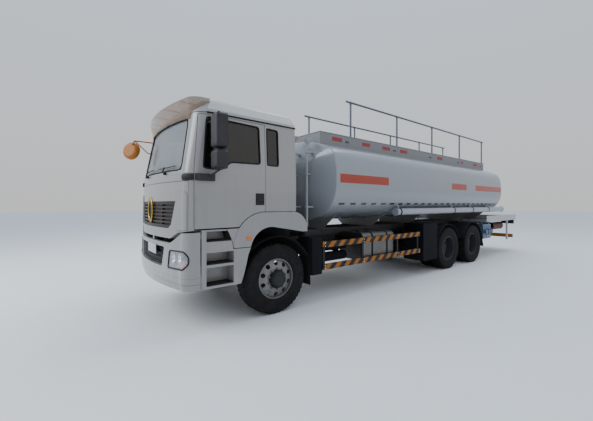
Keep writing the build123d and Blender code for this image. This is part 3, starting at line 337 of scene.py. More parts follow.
def clear(name, colour, alpha, roughness=0.04, painted_shade_behind=None):
    """Thin glazing or a lens: tinted, half clear, with wiped dust. Behind a station it may turn near-black
    and nearly opaque, painted shade of the dim cab inside.
    """
    painted_shade_alpha = 0.88
    finish = Finish(name, colour, roughness, alpha=alpha)
    film = finish.noise(5, 5)
    finish.set(roughness=roughness + film.ramp(0.5, 0.9) * 0.15)
    cover = film.ramp(0.45, 0.9) * 0.12 + alpha
    if painted_shade_behind is not None:
        x, y, z = finish.axes()
        # Painted shade: past the station the glass goes near-black and more opaque, standing in for the
        # shaded cab inside.
        dark = y > st(painted_shade_behind)
        finish.set(base_color=finish.blend(dark, colour, (0.006, 0.006, 0.005)))
        cover = cover + dark * (painted_shade_alpha - alpha)
    return finish.set(alpha=cover)


def visor_smoke(name):
    """Smoked amber plastic, with the warm glow of the lamp at its right end."""
    smoke = (0.17, 0.095, 0.05)
    glow_x, glow_z = -1.02, 2.86
    finish = Finish(name, smoke, 0.16, coat_weight=0.5, emission_strength=0.8)
    x, y, z = finish.axes()
    haze = finish.noise(4, 4)
    glow = (1 - (x - glow_x).size().ramp(0.0, 0.20)) * (1 - (z - glow_z).size().ramp(0.0, 0.16))
    base = finish.blend(haze * 0.6, smoke, (0.30, 0.20, 0.13))
    finish.set(base_color=finish.blend(glow, base, (0.75, 0.28, 0.03)))
    finish.set(emission_color=finish.blend(glow, (0.0, 0.0, 0.0), (0.9, 0.32, 0.03)))
    return finish.set(alpha=haze.ramp(0.3, 0.8) * 0.2 + 0.5 + glow * 0.2)


def woven(name, colour):
    """Seat cloth: crossed threads and a mottled pile."""
    finish = Finish(name, colour, 0.9, sheen_weight=0.3)
    threads = finish.noise(240, 1, stretch=(1, 6, 1)) + finish.noise(240, 1, stretch=(6, 1, 6))
    finish.set(base_color=finish.blend(finish.noise(20, 5), colour, dimmed(colour, 0.55)))
    return finish.bump(threads, 0.35, 0.001)


def ribbed_lens(name, colour, shade):
    """A coloured lamp lens with fine ribs."""
    finish = Finish(name, colour, 0.2, coat_weight=0.6)
    ribs = finish.noise(30, 2, stretch=(1, 14, 1))
    finish.set(base_color=finish.blend(ribs, colour, shade))
    return finish.bump(ribs, 0.3, 0.001)


# The white paint's base colour is set well below white: partly the paint's own colour, partly painted
# shade of the dim evening light.
shade_dimmed_white = (0.275, 0.262, 0.254)
finishes = {
    "cab_paint": paint("cab paint", shade_dimmed_white, dust=0.32),
    "bumper_paint": paint("bumper paint", shade_dimmed_white, dust=0.30, marks=bumper_marks),
    # The tank's paint is set as dim as the cab's and a little bluer: partly its own colour, partly painted
    # shade and painted cool light.
    "tank_paint": paint("tank paint", (0.27, 0.28, 0.30), 0.18, 0.22, 0.4, marks=tank_marks),
    "coaming_paint": paint("coaming paint", (0.20, 0.20, 0.21), 0.45, 0.3, 0.1, marks=coaming_marks),
    # The saddle plates are white; their base colour is a darker warm grey than the tank's paint, painted
    # shade under the tank.
    "mount_paint": paint("mount paint", (0.23, 0.215, 0.20), 0.5, 0.4, 0.1, marks=mount_marks),
    "deck_paint": paint("deck paint", (0.46, 0.45, 0.46), 0.35, 0.3, 0.3),
    "pipe_paint": paint("pipe paint", (0.36, 0.36, 0.38), 0.35, 0.3, 0.3),
    "rail_paint": paint("rail paint", (0.075, 0.085, 0.11), 0.4, 0.2, 0.2),
    "dark_metal": paint("dark metal", (0.007, 0.007, 0.010), 0.65, 0.2, 0.0, specular_ior_level=0.12),
    "frame_paint": rough_metal("frame paint", (0.007, 0.007, 0.008), 0.7, 0.0),
    "cast_steel": rough_metal("cast steel", (0.018, 0.017, 0.016), 0.7, 0.2, 40, 0.35),
    "wheel_steel": paint("wheel silver", (0.20, 0.195, 0.195), 0.35, 0.55, 0.2, metallic=0.5),
    "rear_rim": paint("rear rim grey", (0.055, 0.055, 0.062), 0.45, 0.5, 0.1, metallic=0.3),
    "hub": rough_metal("hub", (0.007, 0.007, 0.007), 0.55, 0.1),
    "tyre": tyre_rubber("tyre rubber"),
    # The cab glass behind station -0.90 is painted near-black: painted shade of the cab inside.
    "glass": clear("cab glass", (0.50, 0.52, 0.53), 0.30, painted_shade_behind=-0.90),
    # The door glass is near-black and nearly opaque: painted shade of the cab inside seen through it.
    "side_glass": clear("side glass", (0.006, 0.006, 0.005), 0.88),
    "smoked": visor_smoke("smoked visor"),
    "lens": clear("lens", (0.62, 0.64, 0.68), 0.22),
    "plastic": moulded("black plastic", (0.012, 0.011, 0.011)),
    "case": moulded("mirror case", (0.026, 0.024, 0.026), 0.45),
    "orange_case": moulded("front mirror case", (0.34, 0.115, 0.012), 0.4, 200),
    "grille": moulded("grille brown", (0.022, 0.014, 0.010), 0.4),
    "rubber": moulded("rubber", (0.008, 0.008, 0.008), 0.8, 160),
    "inside": moulded("inside trim", (0.09, 0.085, 0.08), 0.7, 300, 0.1),
    "cloth": woven("seat cloth", (0.10, 0.09, 0.09)),
    "guard_paint": hazard("guard stripes"),
    "aluminium": brushed("aluminium", (0.17, 0.16, 0.15), 0.38),
    "chrome": brushed("bright metal", (0.75, 0.75, 0.77), 0.12),
    "reflector": brushed("reflector", (0.42, 0.43, 0.45), 0.25),
    "gold": brushed("ring metal", (0.42, 0.27, 0.06), 0.3),
    "tube_paint": paint("tube paint", (0.34, 0.335, 0.38), 0.28, 0.2, 0.5, metallic=0.25),
    "pump_paint": paint("pump paint", (0.11, 0.16, 0.24), 0.35, 0.35, 0.2, metallic=0.4),
    "drum_paint": paint("drum paint", (0.13, 0.035, 0.018), 0.5, 0.4, 0.1),
    "amber": ribbed_lens("amber lens", (0.62, 0.16, 0.015), (0.5, 0.12, 0.01)),
    "red": ribbed_lens("red lens", (0.40, 0.012, 0.008), (0.28, 0.01, 0.01)),
    "plate": moulded("blank plate", (0.46, 0.47, 0.50), 0.4, 200, 0.15),
    "mirror": brushed("mirror face", (0.6, 0.62, 0.65), 0.05),
}


# Modelling by hand: primitives, edit-mode tools and applied modifiers
MIRROR = Matrix.Scale(-1, 4, (1, 0, 0))


def deselect():
    bpy.ops.object.select_all(action="DESELECT")


def only(*pieces):
    deselect()
    for piece in pieces:
        piece.select_set(True)
    bpy.context.view_layer.objects.active = pieces[0]


def settle(piece):
    """Put the piece's place, turn and size into its mesh."""
    only(piece)
    bpy.ops.object.transform_apply(location=True, rotation=True, scale=True)
    return piece


def modify(piece, kind, **settings):
    """Add a modifier and apply it."""
    only(piece)
    modifier = piece.modifiers.new("step", kind)
    for key, value in settings.items():
        setattr(modifier, key, value)
    bpy.ops.object.modifier_apply(modifier="step")
    return piece


def soft(piece, angle=38):
    """Smooth shading, with sharp edges past an angle in degrees."""
    only(piece)
    bpy.ops.object.shade_smooth_by_angle(angle=math.radians(angle))
    return piece


def slab(low, high, edge=0.004, steps=2):
    """A box with rounded edges between two corners."""
    low = Vector(low)
    high = Vector(high)
    deselect()
    bpy.ops.mesh.primitive_cube_add(size=1, location=(low + high) / 2)
    piece = bpy.context.object
    piece.scale = [abs(step) for step in high - low]
    settle(piece)
    modify(piece, "BEVEL", width=edge, segments=steps, limit_method="NONE")
    return soft(piece)


def bar(start, end, radius, sides=16, edge=0.002):
    """A round bar with eased ends."""
    start = Vector(start)
    axis = Vector(end) - start
    deselect()
    bpy.ops.mesh.primitive_cylinder_add(
        vertices=sides,
        radius=radius,
        depth=axis.length,
        location=start + axis / 2,
        rotation=axis.to_track_quat("Z", "Y").to_euler(),
    )
    piece = settle(bpy.context.object)
    limit = math.radians(50)
    modify(piece, "BEVEL", width=edge, segments=2, limit_method="ANGLE", angle_limit=limit)
    return soft(piece)


def pipe(points, radius, sides=3, closed=False):
    """A round tube along a line of points."""
    line = bpy.data.curves.new("line", "CURVE")
    line.dimensions = "3D"
    line.bevel_depth = radius
    line.bevel_resolution = sides
    line.use_fill_caps = True
    run = line.splines.new("POLY")
    run.points.add(len(points) - 1)
    for point, place in zip(run.points, points):
        point.co = (*place, 1)
    run.use_cyclic_u = closed
    piece = bpy.data.objects.new("line", line)
    bpy.context.collection.objects.link(piece)
    only(piece)
    bpy.ops.object.convert(target="MESH")
    return soft(bpy.context.object, 60)


def turned(profile, centre, steps=48):
    """A body turned about the X axis through a centre, from (x, radius) points."""
    deselect()
    bpy.ops.mesh.primitive_plane_add(size=1)
    piece = bpy.context.object
    bpy.ops.object.mode_set(mode="EDIT")
    bpy.ops.mesh.merge(type="CENTER")
    start = Vector(centre) + Vector((profile[0][0], 0, profile[0][1]))
    bpy.ops.transform.translate(value=start)
    for before, after in zip(profile, profile[1:]):
        step = (after[0] - before[0], 0, after[1] - before[1])
        bpy.ops.mesh.extrude_vertices_move(TRANSFORM_OT_translate={"value": step})
    bpy.ops.mesh.select_all(action="SELECT")
    bpy.ops.mesh.spin(steps=steps, angle=2 * math.pi, center=centre, axis=(1, 0, 0))
    bpy.ops.mesh.select_all(action="SELECT")
    bpy.ops.mesh.remove_doubles(threshold=1e-5)
    bpy.ops.mesh.normals_make_consistent(inside=False)
    bpy.ops.object.mode_set(mode="OBJECT")
    return soft(piece)


def turned_front(profile, centre, steps=32):
    """A body turned about a line along the truck, from (distance forward, radius) points."""
    piece = turned(profile, (0, 0, 0), steps)
    piece.data.transform(Matrix.Translation(centre) @ Matrix.Rotation(-math.pi / 2, 4, "Z"))
    return piece


def turned_up(profile, centre, steps=32):
    """A body turned about an upright line, from (height, radius) points."""
    piece = turned(profile, (0, 0, 0), steps)
    piece.data.transform(Matrix.Translation(centre) @ Matrix.Rotation(-math.pi / 2, 4, "Y"))
    return piece


def joined(pieces):
    """The pieces as one."""
    pieces = list(pieces)
    if len(pieces) == 1:
        return pieces[0]
    only(*pieces)
    bpy.ops.object.join()
    return bpy.context.object


def repeated(piece, matrices):
    """The piece at each matrix, every copy with its own mesh, joined into one."""
    copies = []
    for matrix in matrices:
        twin = bpy.data.objects.new("copy", piece.data.copy())
        bpy.context.collection.objects.link(twin)
        twin.data.transform(matrix)
        if matrix.determinant() < 0:
            twin.data.flip_normals()
        copies.append(twin)
    bpy.data.objects.remove(piece)
    return joined(copies)


def both(piece):
    """The piece and its mirror image on the other side of the truck."""
    return repeated(piece, (Matrix(), MIRROR))


def on_side(piece, side):
    """The piece, modelled on the left, put on a side of the truck."""
    return piece if side > 0 else repeated(piece, (MIRROR,))


def about(centre, matrix):
    """The matrix, worked about a centre."""
    there = Matrix.Translation(centre)
    return there @ matrix @ there.inverted()


def turns(centre, count, axis, start=0.0):
    """Turns about an axis through a centre, in equal steps."""
    step = 2 * math.pi / count
    return [about(centre, Matrix.Rotation(start + step * i, 4, axis)) for i in range(count)]


def pick_faces(piece, wanted):
    """Go into edit mode with only the wanted faces selected."""
    only(piece)
    bpy.ops.object.mode_set(mode="EDIT")
    bpy.ops.mesh.select_all(action="DESELECT")
    mesh = bmesh.from_edit_mesh(piece.data)
    for face in mesh.faces:
        face.select = wanted(face)
    bmesh.update_edit_mesh(piece.data)


def fit(piece, name, body, finish, replaces=()):
    """Name the piece, give it its finish and let it ride on its body."""
    piece.name = name
    piece.data.materials.clear()
    piece.data.materials.append(finishes[finish].material)
    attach(piece, body)
    if replaces:
        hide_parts(*replaces)


# Finishes of the CAD nodes that stay. The rest, in the running gear, is cast steel.
NODES_BY_FINISH = {
    "cab_paint": (
        "cab_shell", "cab_roof", "door_left", "door_right", "front_lid", "fenders", "entry_steps",
    ),
    "bumper_paint": ("bumper",),
    "inside": ("cab_floor", "dashboard"),
    "glass": ("cab_glass",),
    "side_glass": ("door_glass_left", "door_glass_right"),
    "grille": ("grille",),
    "smoked": ("sun_visor",),
    "case": ("mirror_left", "mirror_right"),
    "orange_case": ("front_mirror",),
    "plastic": ("lamps",),
    "frame_paint": ("chassis_frame",),
    "tank_paint": ("tank",),
    "mount_paint": ("tank_mounts",),
    "coaming_paint": ("coaming", "manhole_lid_1", "manhole_lid_2", "manhole_lid_3", "manhole_lid_4"),
    "rail_paint": ("hand_rails",),
    "tube_paint": ("hose_tubes",),
    "guard_paint": ("side_guards", "underrun_bar"),
    "aluminium": ("fuel_tank",),
    "dark_metal": ("tank_brackets", "air_tanks", "lockers"),
    "rubber": ("mudguards",),
    "deck_paint": ("rear_deck",),
    "pump_paint": ("valve_box",),
    "wheel_steel": ("rim_front_left", "rim_front_right"),
    "rear_rim": ("rims_first_left", "rims_first_right", "rims_second_left", "rims_second_right"),
}
node_finish = {node: finish for finish, nodes in NODES_BY_FINISH.items() for node in nodes}
for node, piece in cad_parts.items():
    piece.data.materials.clear()
    piece.data.materials.append(finishes[node_finish.get(node, "cast_steel")].material)

# Tyres: ribbed tread, stepped shoulders and rings on the wall
TYRE_RADIUS = 0.532
BEAD_RADIUS = 0.300
RIM_HALF = 0.125
GROOVE = 0.011
SHOULDER = (0.085, 0.138)
BLOCK_ANGLE = 8


def tyre_profile():
    """Half of the section outside, from the middle of the tread to the bead."""
    half = [(0.0, TYRE_RADIUS)]
    for centre in (0.027, 0.078):
        half.append((centre - 0.006, TYRE_RADIUS))
        half.append((centre - 0.004, TYRE_RADIUS - GROOVE))
        half.append((centre + 0.004, TYRE_RADIUS - GROOVE))
        half.append((centre + 0.006, TYRE_RADIUS))
    return half + [
        (0.116, TYRE_RADIUS - 0.001),
        (0.132, TYRE_RADIUS - 0.010),
        (0.139, TYRE_RADIUS - 0.034),
        (0.143, TYRE_RADIUS - 0.050),
        (0.1405, TYRE_RADIUS - 0.053),
        (0.1455, TYRE_RADIUS - 0.080),
        (0.1490, 0.430),
        (0.1485, 0.405),
        (0.1455, 0.402),
        (0.1455, 0.372),
        (0.1465, 0.369),
        (0.1440, 0.350),
        (0.1370, 0.322),
        (0.1270, 0.304),
        (RIM_HALF, BEAD_RADIUS),
    ]


def tyre(x, station):
    """A tyre whose every second shoulder block is drawn in."""
    half = tyre_profile()
    ring = [(-px, pr) for px, pr in reversed(half)] + half[1:] + [(-RIM_HALF, BEAD_RADIUS)]
    centre = Vector((x, st(station), AXLE_HEIGHT))
    piece = turned(ring, centre, 90)

    def in_block(face):
        place = face.calc_center_median() - centre
        turn = math.degrees(math.atan2(place.z, place.y)) % BLOCK_ANGLE
        outside = math.hypot(place.y, place.z) > TYRE_RADIUS - 0.030
        return outside and turn < BLOCK_ANGLE / 2 and SHOULDER[0] < abs(place.x) < SHOULDER[1]

    pick_faces(piece, in_block)
    bpy.ops.mesh.extrude_region_shrink_fatten(TRANSFORM_OT_shrink_fatten={"value": -0.008})
    bpy.ops.object.mode_set(mode="OBJECT")
    return soft(piece, 30)


# Wheels: profiles are (distance outwards, radius)
NUTS = 10
NUT_RADIUS = 0.016
FRONT_FACE = FRONT_WHEEL_X + 0.140
FRONT_CAP = (
    (0.0, 0.0), (0.0, 0.137), (0.030, 0.137), (0.072, 0.114), (0.088, 0.100),
    (0.0915, 0.096), (0.0915, 0.080), (0.0875, 0.074), (0.0885, 0.030), (0.0915, 0.0),
)
REAR_CAP = (
    (0.030, 0.0), (0.030, 0.104), (0.130, 0.102), (0.136, 0.096), (0.140, 0.096),
    (0.150, 0.092), (0.166, 0.082), (0.172, 0.060), (0.172, 0.0),
)
RIM_LIP = (
    (-0.020, 0.288), (-0.010, 0.300), (0.002, 0.302), (0.004, 0.292), (-0.008, 0.284), (-0.020, 0.288),
)


def outwards(profile, side):
    """The profile, facing out from a side of the truck."""
    return [(side * distance, radius) for distance, radius in profile]


def nut_ring(x, station, side, circle, reach):
    """Wheel nuts on their washers, round a hub."""
    y = st(station)
    z = AXLE_HEIGHT + circle
    washer = bar((x, y, z), (x + side * 0.006, y, z), NUT_RADIUS * 1.35, 20, 0.001)
    nut = bar((x, y, z), (x + side * reach * 0.7, y, z), NUT_RADIUS, 6, 0.002)
    stud = bar((x, y, z), (x + side * reach, y, z), NUT_RADIUS * 0.62, 14, 0.002)
    return repeated(joined((washer, nut, stud)), turns((x, y, AXLE_HEIGHT), NUTS, "X"))


for side, name in SIDES:
    body = f"front_wheel_{name}"
    front_tyre = tyre(side * FRONT_WHEEL_X, 0)
    fit(front_tyre, f"front_tyre_{name}", body, "tyre", (f"tyre_front_{name}",))
    face = side * FRONT_FACE
    nuts = nut_ring(face, 0, side, 0.156, 0.040)
    fit(nuts, f"front_nuts_{name}", body, "wheel_steel")
    centre = (face, st(0), AXLE_HEIGHT)
    cap = turned(outwards(FRONT_CAP, side), centre, 40)
    bolt_z = AXLE_HEIGHT + 0.088
    bolt = bar((face + side * 0.080, st(0), bolt_z), (face + side * 0.095, st(0), bolt_z), 0.007, 6, 0.001)
    bolts = repeated(bolt, turns(centre, 6, "X", 0.3))
    fit(joined((cap, bolts)), f"front_hub_cap_{name}", body, "hub")
    lip = turned(outwards(RIM_LIP, side), (side * (FRONT_WHEEL_X + RIM_HALF), st(0), AXLE_HEIGHT), 72)
    fit(lip, f"front_rim_lip_{name}", body, "wheel_steel")
    for row, station in zip(("first", "second"), BOGIE):
        body = f"{row}_wheels_{name}"
        pair = joined(tyre(side * (REAR_WHEEL_X + part), station) for part in (TWIN_HALF, -TWIN_HALF))
        fit(pair, f"{row}_tyres_{name}", body, "tyre", (f"tyres_{row}_{name}",))
        nuts = nut_ring(side * (REAR_WHEEL_X + 0.012), station, side, 0.145, 0.045)
        fit(nuts, f"{row}_nuts_{name}", body, "wheel_steel")
        cap = turned(outwards(REAR_CAP, side), (side * REAR_WHEEL_X, st(station), AXLE_HEIGHT), 40)
        fit(cap, f"{row}_hub_cap_{name}", body, "hub")

# The bowed cab front and bumper, as the CAD sections give them.
# Columns: height, half width, x of the corner, then the stations of the front's middle,
# of the front at the corner and of the side's start.
CAB_SKIN = (
    (1.200, 1.236, 1.085, -1.478, -1.352, -1.228),
    (2.060, 1.240, 1.065, -1.462, -1.338, -1.222),
    (2.850, 1.200, 0.965, -1.300, -1.202, -1.085),
)
BUMPER_SKIN = (
    (0.570, 1.205, 1.040, -1.480, -1.360, -1.250),
    (0.680, 1.240, 1.060, -1.505, -1.385, -1.262),
    (1.340, 1.240, 1.070, -1.480, -1.362, -1.240),
)


def section_at(sections, z):
    """The section at a height, between the two nearest or past the last."""
    for low, high in zip(sections, sections[1:]):
        if z <= high[0] or high is sections[-1]:
            share = (z - low[0]) / (high[0] - low[0])
            return [a + share * (b - a) for a, b in zip(low, high)]


def circle_through(a, b, c):
    """Centre and radius of the circle through three points."""
    ax, ay = a
    bx, by = b[0] - ax, b[1] - ay
    cx, cy = c[0] - ax, c[1] - ay
    d = 2 * (bx * cy - by * cx)
    ux = (cy * (bx * bx + by * by) - by * (cx * cx + cy * cy)) / d
    uy = (bx * (cx * cx + cy * cy) - cx * (bx * bx + by * by)) / d
    return ax + ux, ay + uy, math.hypot(ux, uy)


def skin(sections, x, z, proud=0.0):
    """The point of a bowed front or its rounded corner at x and z, set forward a little."""
    half, corner, middle, edge, side = section_at(sections, z)[1:]
    reach = min(abs(x), half - 0.001)
    if reach <= corner:
        y = middle + (edge - middle) * (x / corner) ** 2
    else:
        bulge = ((corner + half) / 2 + 0.2 * (side - edge), (edge + side) / 2 - 0.2 * (half - corner))
        cx, cy, r = circle_through((corner, edge), bulge, (half, side))
        y = cy - math.sqrt(max(r * r - (reach - cx) ** 2, 0))
    return (x, st(y) - proud, z)


def side_skin(station, z, proud):
    """The point of the cab's left side at a station and height, set out a little."""
    return (section_at(CAB_SKIN, z)[1] + proud, st(station), z)


def edges_of(outline):
    """The pairs of points of a closed outline."""
    return zip(outline, outline[1:] + outline[:1])


def eased(outline, radius, steps=4):
    """The closed outline with each corner turned into a short curve."""
    points = []
    count = len(outline)
    for i, corner in enumerate(outline):
        corner = Vector(corner)
        before = Vector(outline[i - 1]) - corner
        after = Vector(outline[(i + 1) % count]) - corner
        cut = min(radius, before.length / 2.2, after.length / 2.2)
        start = corner + before.normalized() * cut
        end = corner + after.normalized() * cut
        for k in range(steps + 1):
            t = k / steps
            points.append(start * (1 - t) ** 2 + corner * 2 * t * (1 - t) + end * t * t)
    return points


def spaced(outline, step):
    """Points no further apart than a step along a closed outline."""
    points = []
    for a, b in edges_of(outline):
        count = max(1, math.ceil((b - a).length / step))
        points += [a + (b - a) * i / count for i in range(count)]
    return points


def panel(sections, outline, proud=0.0, thick=0.004, cells=24):
    """A thin panel over part of a bowed front: a grid cut to the outline and laid on the skin."""
    xs = [p[0] for p in outline]
    zs = [p[1] for p in outline]
    deselect()
    bpy.ops.mesh.primitive_grid_add(
        x_subdivisions=cells,
        y_subdivisions=max(4, cells // 3),
        size=1,
        location=((min(xs) + max(xs)) / 2, 0, (min(zs) + max(zs)) / 2),
        rotation=(math.pi / 2, 0, 0),
    )
    piece = bpy.context.object
    piece.scale = (max(xs) - min(xs), max(zs) - min(zs), 1)
    settle(piece)
    bpy.ops.object.mode_set(mode="EDIT")
    for a, b in edges_of(outline):
        bpy.ops.mesh.select_all(action="SELECT")
        outward = Vector((b[1] - a[1], 0, a[0] - b[0]))
        bpy.ops.mesh.bisect(plane_co=(a[0], 0, a[1]), plane_no=outward, clear_outer=True)
    bpy.ops.object.mode_set(mode="OBJECT")
    for vertex in piece.data.vertices:
        vertex.co = skin(sections, vertex.co.x, vertex.co.z, proud)
    if thick:
        modify(piece, "SOLIDIFY", thickness=thick, offset=-1)
    return soft(piece)


# Windscreen: seal, and two wipers, each (x of its foot, and of its blade's two ends)
WINDSCREEN = [(-1.015, 2.105), (1.015, 2.105), (0.930, 2.790), (-0.930, 2.790)]
WIPERS = ((0.62, 0.30, 0.88), (-0.20, -0.52, 0.10))
WIPER_FOOT_Z = 2.075
screen_line = spaced(eased(WINDSCREEN, 0.09), 0.05)
seal = pipe([skin(CAB_SKIN, p.x, p.y, -0.003) for p in screen_line], 0.011, 2, True)
fit(seal, "windscreen_seal", "cab", "rubber")
wipers = []
for foot, tip, end in WIPERS:
    middle = (tip + end) / 2
    pivot = [skin(CAB_SKIN, foot, WIPER_FOOT_Z, proud) for proud in (0.0, 0.030, 0.035)]
    wipers.append(bar(pivot[0], pivot[2], 0.018))
    elbow = skin(CAB_SKIN, (foot + middle) / 2, 2.10, 0.045)
    wipers.append(pipe([pivot[1], elbow, skin(CAB_SKIN, middle, 2.165, 0.030)], 0.008))
    blade = [skin(CAB_SKIN, tip + (end - tip) * i / 8, 2.150 + 0.012 * i / 8, 0.014) for i in range(9)]
    wipers.append(pipe(blade, 0.007))
fit(joined(wipers), "wipers", "cab", "plastic")

# Drip rail round the sides and rear of the roof
DRIP_Z = 2.848
DRIP_LEFT = [(1.209, -1.08), (1.210, 0.29), (1.200, 0.309)]
drip_line = DRIP_LEFT + [(-x, station) for x, station in reversed(DRIP_LEFT)]
drip = pipe([(x, st(station), DRIP_Z) for x, station in drip_line], 0.010)
fit(drip, "drip_rail", "cab", "rubber")

# Side windows, as (station, height): rubber seals
DOOR_WINDOW = [
    (-1.140, 2.125), (-0.900, 2.115), (-0.770, 2.225),
    (-0.325, 2.235), (-0.335, 2.765), (-1.085, 2.790),
]
QUARTER_WINDOW = [(-0.208, 2.229), (-0.018, 2.229), (-0.018, 2.761), (-0.208, 2.771)]


def window_seal(outline):
    """A rubber seal round a window of the left side."""
    line = spaced(eased(outline, 0.04), 0.1)
    return pipe([side_skin(p.x, p.y, -0.002) for p in line], 0.010, 2, True)


fit(both(window_seal(QUARTER_WINDOW)), "quarter_seals", "cab", "rubber")

# Corner bar: a flat bar round the corner below the windscreen
CORNER_BAR_Z = 2.005
CORNER_BAR_X = (1.10, 1.13, 1.16, 1.19, 1.212, 1.224, 1.232)
corner_bar = pipe([skin(CAB_SKIN, x, CORNER_BAR_Z, 0.004) for x in CORNER_BAR_X], 0.022)
corner_bar.data.transform(about((0, 0, CORNER_BAR_Z), Matrix.Diagonal((1, 1, 2.0, 1))))
fit(both(corner_bar), "corner_bars", "cab", "plastic")

# Doors: window seals, handles, and the faces of the two mirrors on each
MIRROR_SPAN = (1.353, 1.527)
MIRROR_HEIGHTS = ((2.388, 2.768), (2.124, 2.316))
for side, name in SIDES:
    body = f"door_{name}"
    door_seal = on_side(window_seal(DOOR_WINDOW), side)
    fit(door_seal, f"door_seal_{name}", body, "rubber")
    handle = joined((
        slab((1.226, st(-0.405), 1.650), (1.243, st(-0.262), 1.820), 0.012, 3),
        slab((1.236, st(-0.390), 1.700), (1.253, st(-0.277), 1.745), 0.007, 3),
        bar((1.238, st(-0.300), 1.785), (1.249, st(-0.300), 1.785), 0.011),
    ))
    fit(on_side(handle, side), f"door_handle_{name}", body, "plastic")
    near, far = MIRROR_SPAN
    mirrors = joined(
        slab((near, st(-0.9500), low), (far, st(-0.9445), high), 0.002) for low, high in MIRROR_HEIGHTS
    )
    fit(on_side(mirrors, side), f"mirror_faces_{name}", body, "mirror")

# Grille: dark backing and a plain oval ring
GRILLE_OUTLINE = [
    (-0.720, 1.345), (0.720, 1.345), (0.800, 1.400), (0.905, 1.705), (-0.905, 1.705), (-0.800, 1.400),
]
RING_Z = 1.580
backing = panel(CAB_SKIN, GRILLE_OUTLINE, -0.042, 0.006, 40)
fit(backing, "grille_backing", "lid", "grille")
deselect()
bpy.ops.mesh.primitive_torus_add(
    major_radius=0.1,
    minor_radius=0.014,
    major_segments=48,
    minor_segments=12,
    rotation=(math.pi / 2, 0, 0),
)
ring = settle(bpy.context.object)
ring_place = Matrix.Translation(skin(CAB_SKIN, 0, RING_Z, 0.004))
ring.data.transform(ring_place @ Matrix.Diagonal((1.15, 1.0, 1.60, 1)))
fit(soft(ring), "front_ring", "lid", "gold")

# Head lamps: open housing, bright bowls, amber indicator and a clear cover
LAMP_OUTLINE = [
    (0.775, 0.835), (1.150, 0.845), (1.212, 0.910), (1.212, 1.010), (1.165, 1.072), (0.800, 1.062),
]
INDICATOR_OUTLINE = [(0.985, 0.862), (1.125, 0.866), (1.180, 0.915), (1.180, 0.935), (0.985, 0.915)]
BOWLS = ((0.875, 0.968, 0.066), (1.020, 0.980, 0.062))
BULB = [(0.0, 0.0), (0.0, 0.024), (0.022, 0.022), (0.034, 0.012), (0.038, 0.0)]


def lamp_housing():
    """A box behind the lamp's outline, open to the front."""
    piece = panel(BUMPER_SKIN, LAMP_OUTLINE, -0.004, 0)
    only(piece)
    bpy.ops.object.mode_set(mode="EDIT")
    bpy.ops.mesh.select_all(action="SELECT")
    bpy.ops.mesh.extrude_region_move(TRANSFORM_OT_translate={"value": (0, 0.075, 0)})
    mesh = bmesh.from_edit_mesh(piece.data)
    mesh.normal_update()
    for face in mesh.faces:
        face.select = not face.select and abs(face.normal.y) > 0.5
    bmesh.update_edit_mesh(piece.data)
    bpy.ops.mesh.delete(type="FACE")
    bpy.ops.object.mode_set(mode="OBJECT")
    return modify(piece, "SOLIDIFY", thickness=0.004, offset=0)


def bowl_profile(r):
    """A round reflector, as (distance forward, radius)."""
    return [
        (0.0, 0.0), (0.004, r * 0.4), (0.018, r * 0.75), (0.040, r),
        (0.036, r), (0.012, r * 0.75), (-0.004, 0.0),
    ]


bezel_line = spaced(eased(LAMP_OUTLINE, 0.03), 0.04)
bezel = pipe([skin(BUMPER_SKIN, p.x, p.y, 0.0) for p in bezel_line], 0.010, 2, True)
fit(both(bezel), "lamp_bezels", "chassis", "plastic")
fit(both(lamp_housing()), "lamp_housings", "chassis", "reflector", ("lamps",))
bowls = []
for x, z, r in BOWLS:
    centre = (x, skin(BUMPER_SKIN, x, z)[1] + 0.060, z)
    bowls.append(turned_front(bowl_profile(r), centre))
    bowls.append(turned_front(BULB, centre, 24))
low_y = skin(BUMPER_SKIN, 0.9, 0.86)[1]
bowls.append(slab((0.80, low_y + 0.030, 0.858), (0.97, low_y + 0.055, 0.874), 0.004))
fit(both(joined(bowls)), "lamp_bowls", "chassis", "chrome")
indicator = panel(BUMPER_SKIN, INDICATOR_OUTLINE, -0.016, 0.020, 12)
fit(both(indicator), "front_indicators", "chassis", "amber")
cover = panel(BUMPER_SKIN, LAMP_OUTLINE, -0.002, 0.003)
fit(both(cover), "lamp_covers", "chassis", "lens")

# Rear lamps: a case with red, amber and clear lenses
REAR_LENSES = (
    ("red", "red", ((0.775, 0.905), (1.095, 1.165))),
    ("amber", "amber", ((0.915, 1.000),)),
    ("clear", "lens", ((1.008, 1.085),)),
)
rear_case = slab((0.762, st(9.992), 0.962), (1.178, st(10.050), 1.148), 0.006)
fit(both(rear_case), "rear_lamp_cases", "chassis", "plastic")
for name, finish, spans in REAR_LENSES:
    lenses = [slab((x0, st(10.046), 0.978), (x1, st(10.058), 1.098), 0.004) for x0, x1 in spans]
    fit(both(joined(lenses)), f"rear_lamps_{name}", "chassis", finish)

# Bumper: bars in the middle opening and a blank plate
INTAKE_OUTLINE = [(-0.568, 0.836), (0.568, 0.836), (0.625, 1.088), (-0.625, 1.088)]
bars = []
for i in range(4):
    z = 0.868 + 0.062 * i
    bars.append(pipe([skin(BUMPER_SKIN, x / 10, z, -0.030) for x in range(-5, 6)], 0.007, 2))
bars.append(panel(BUMPER_SKIN, INTAKE_OUTLINE, -0.048, 0.004))
fit(joined(bars), "bumper_grille", "chassis", "plastic")
plate_y = skin(BUMPER_SKIN, 0.0, 1.0, 0.006)[1]
plate = slab((-0.060, plate_y + 0.004, 0.972), (0.380, plate_y + 0.014, 1.105), 0.003)
fit(plate, "front_plate", "chassis", "plate")

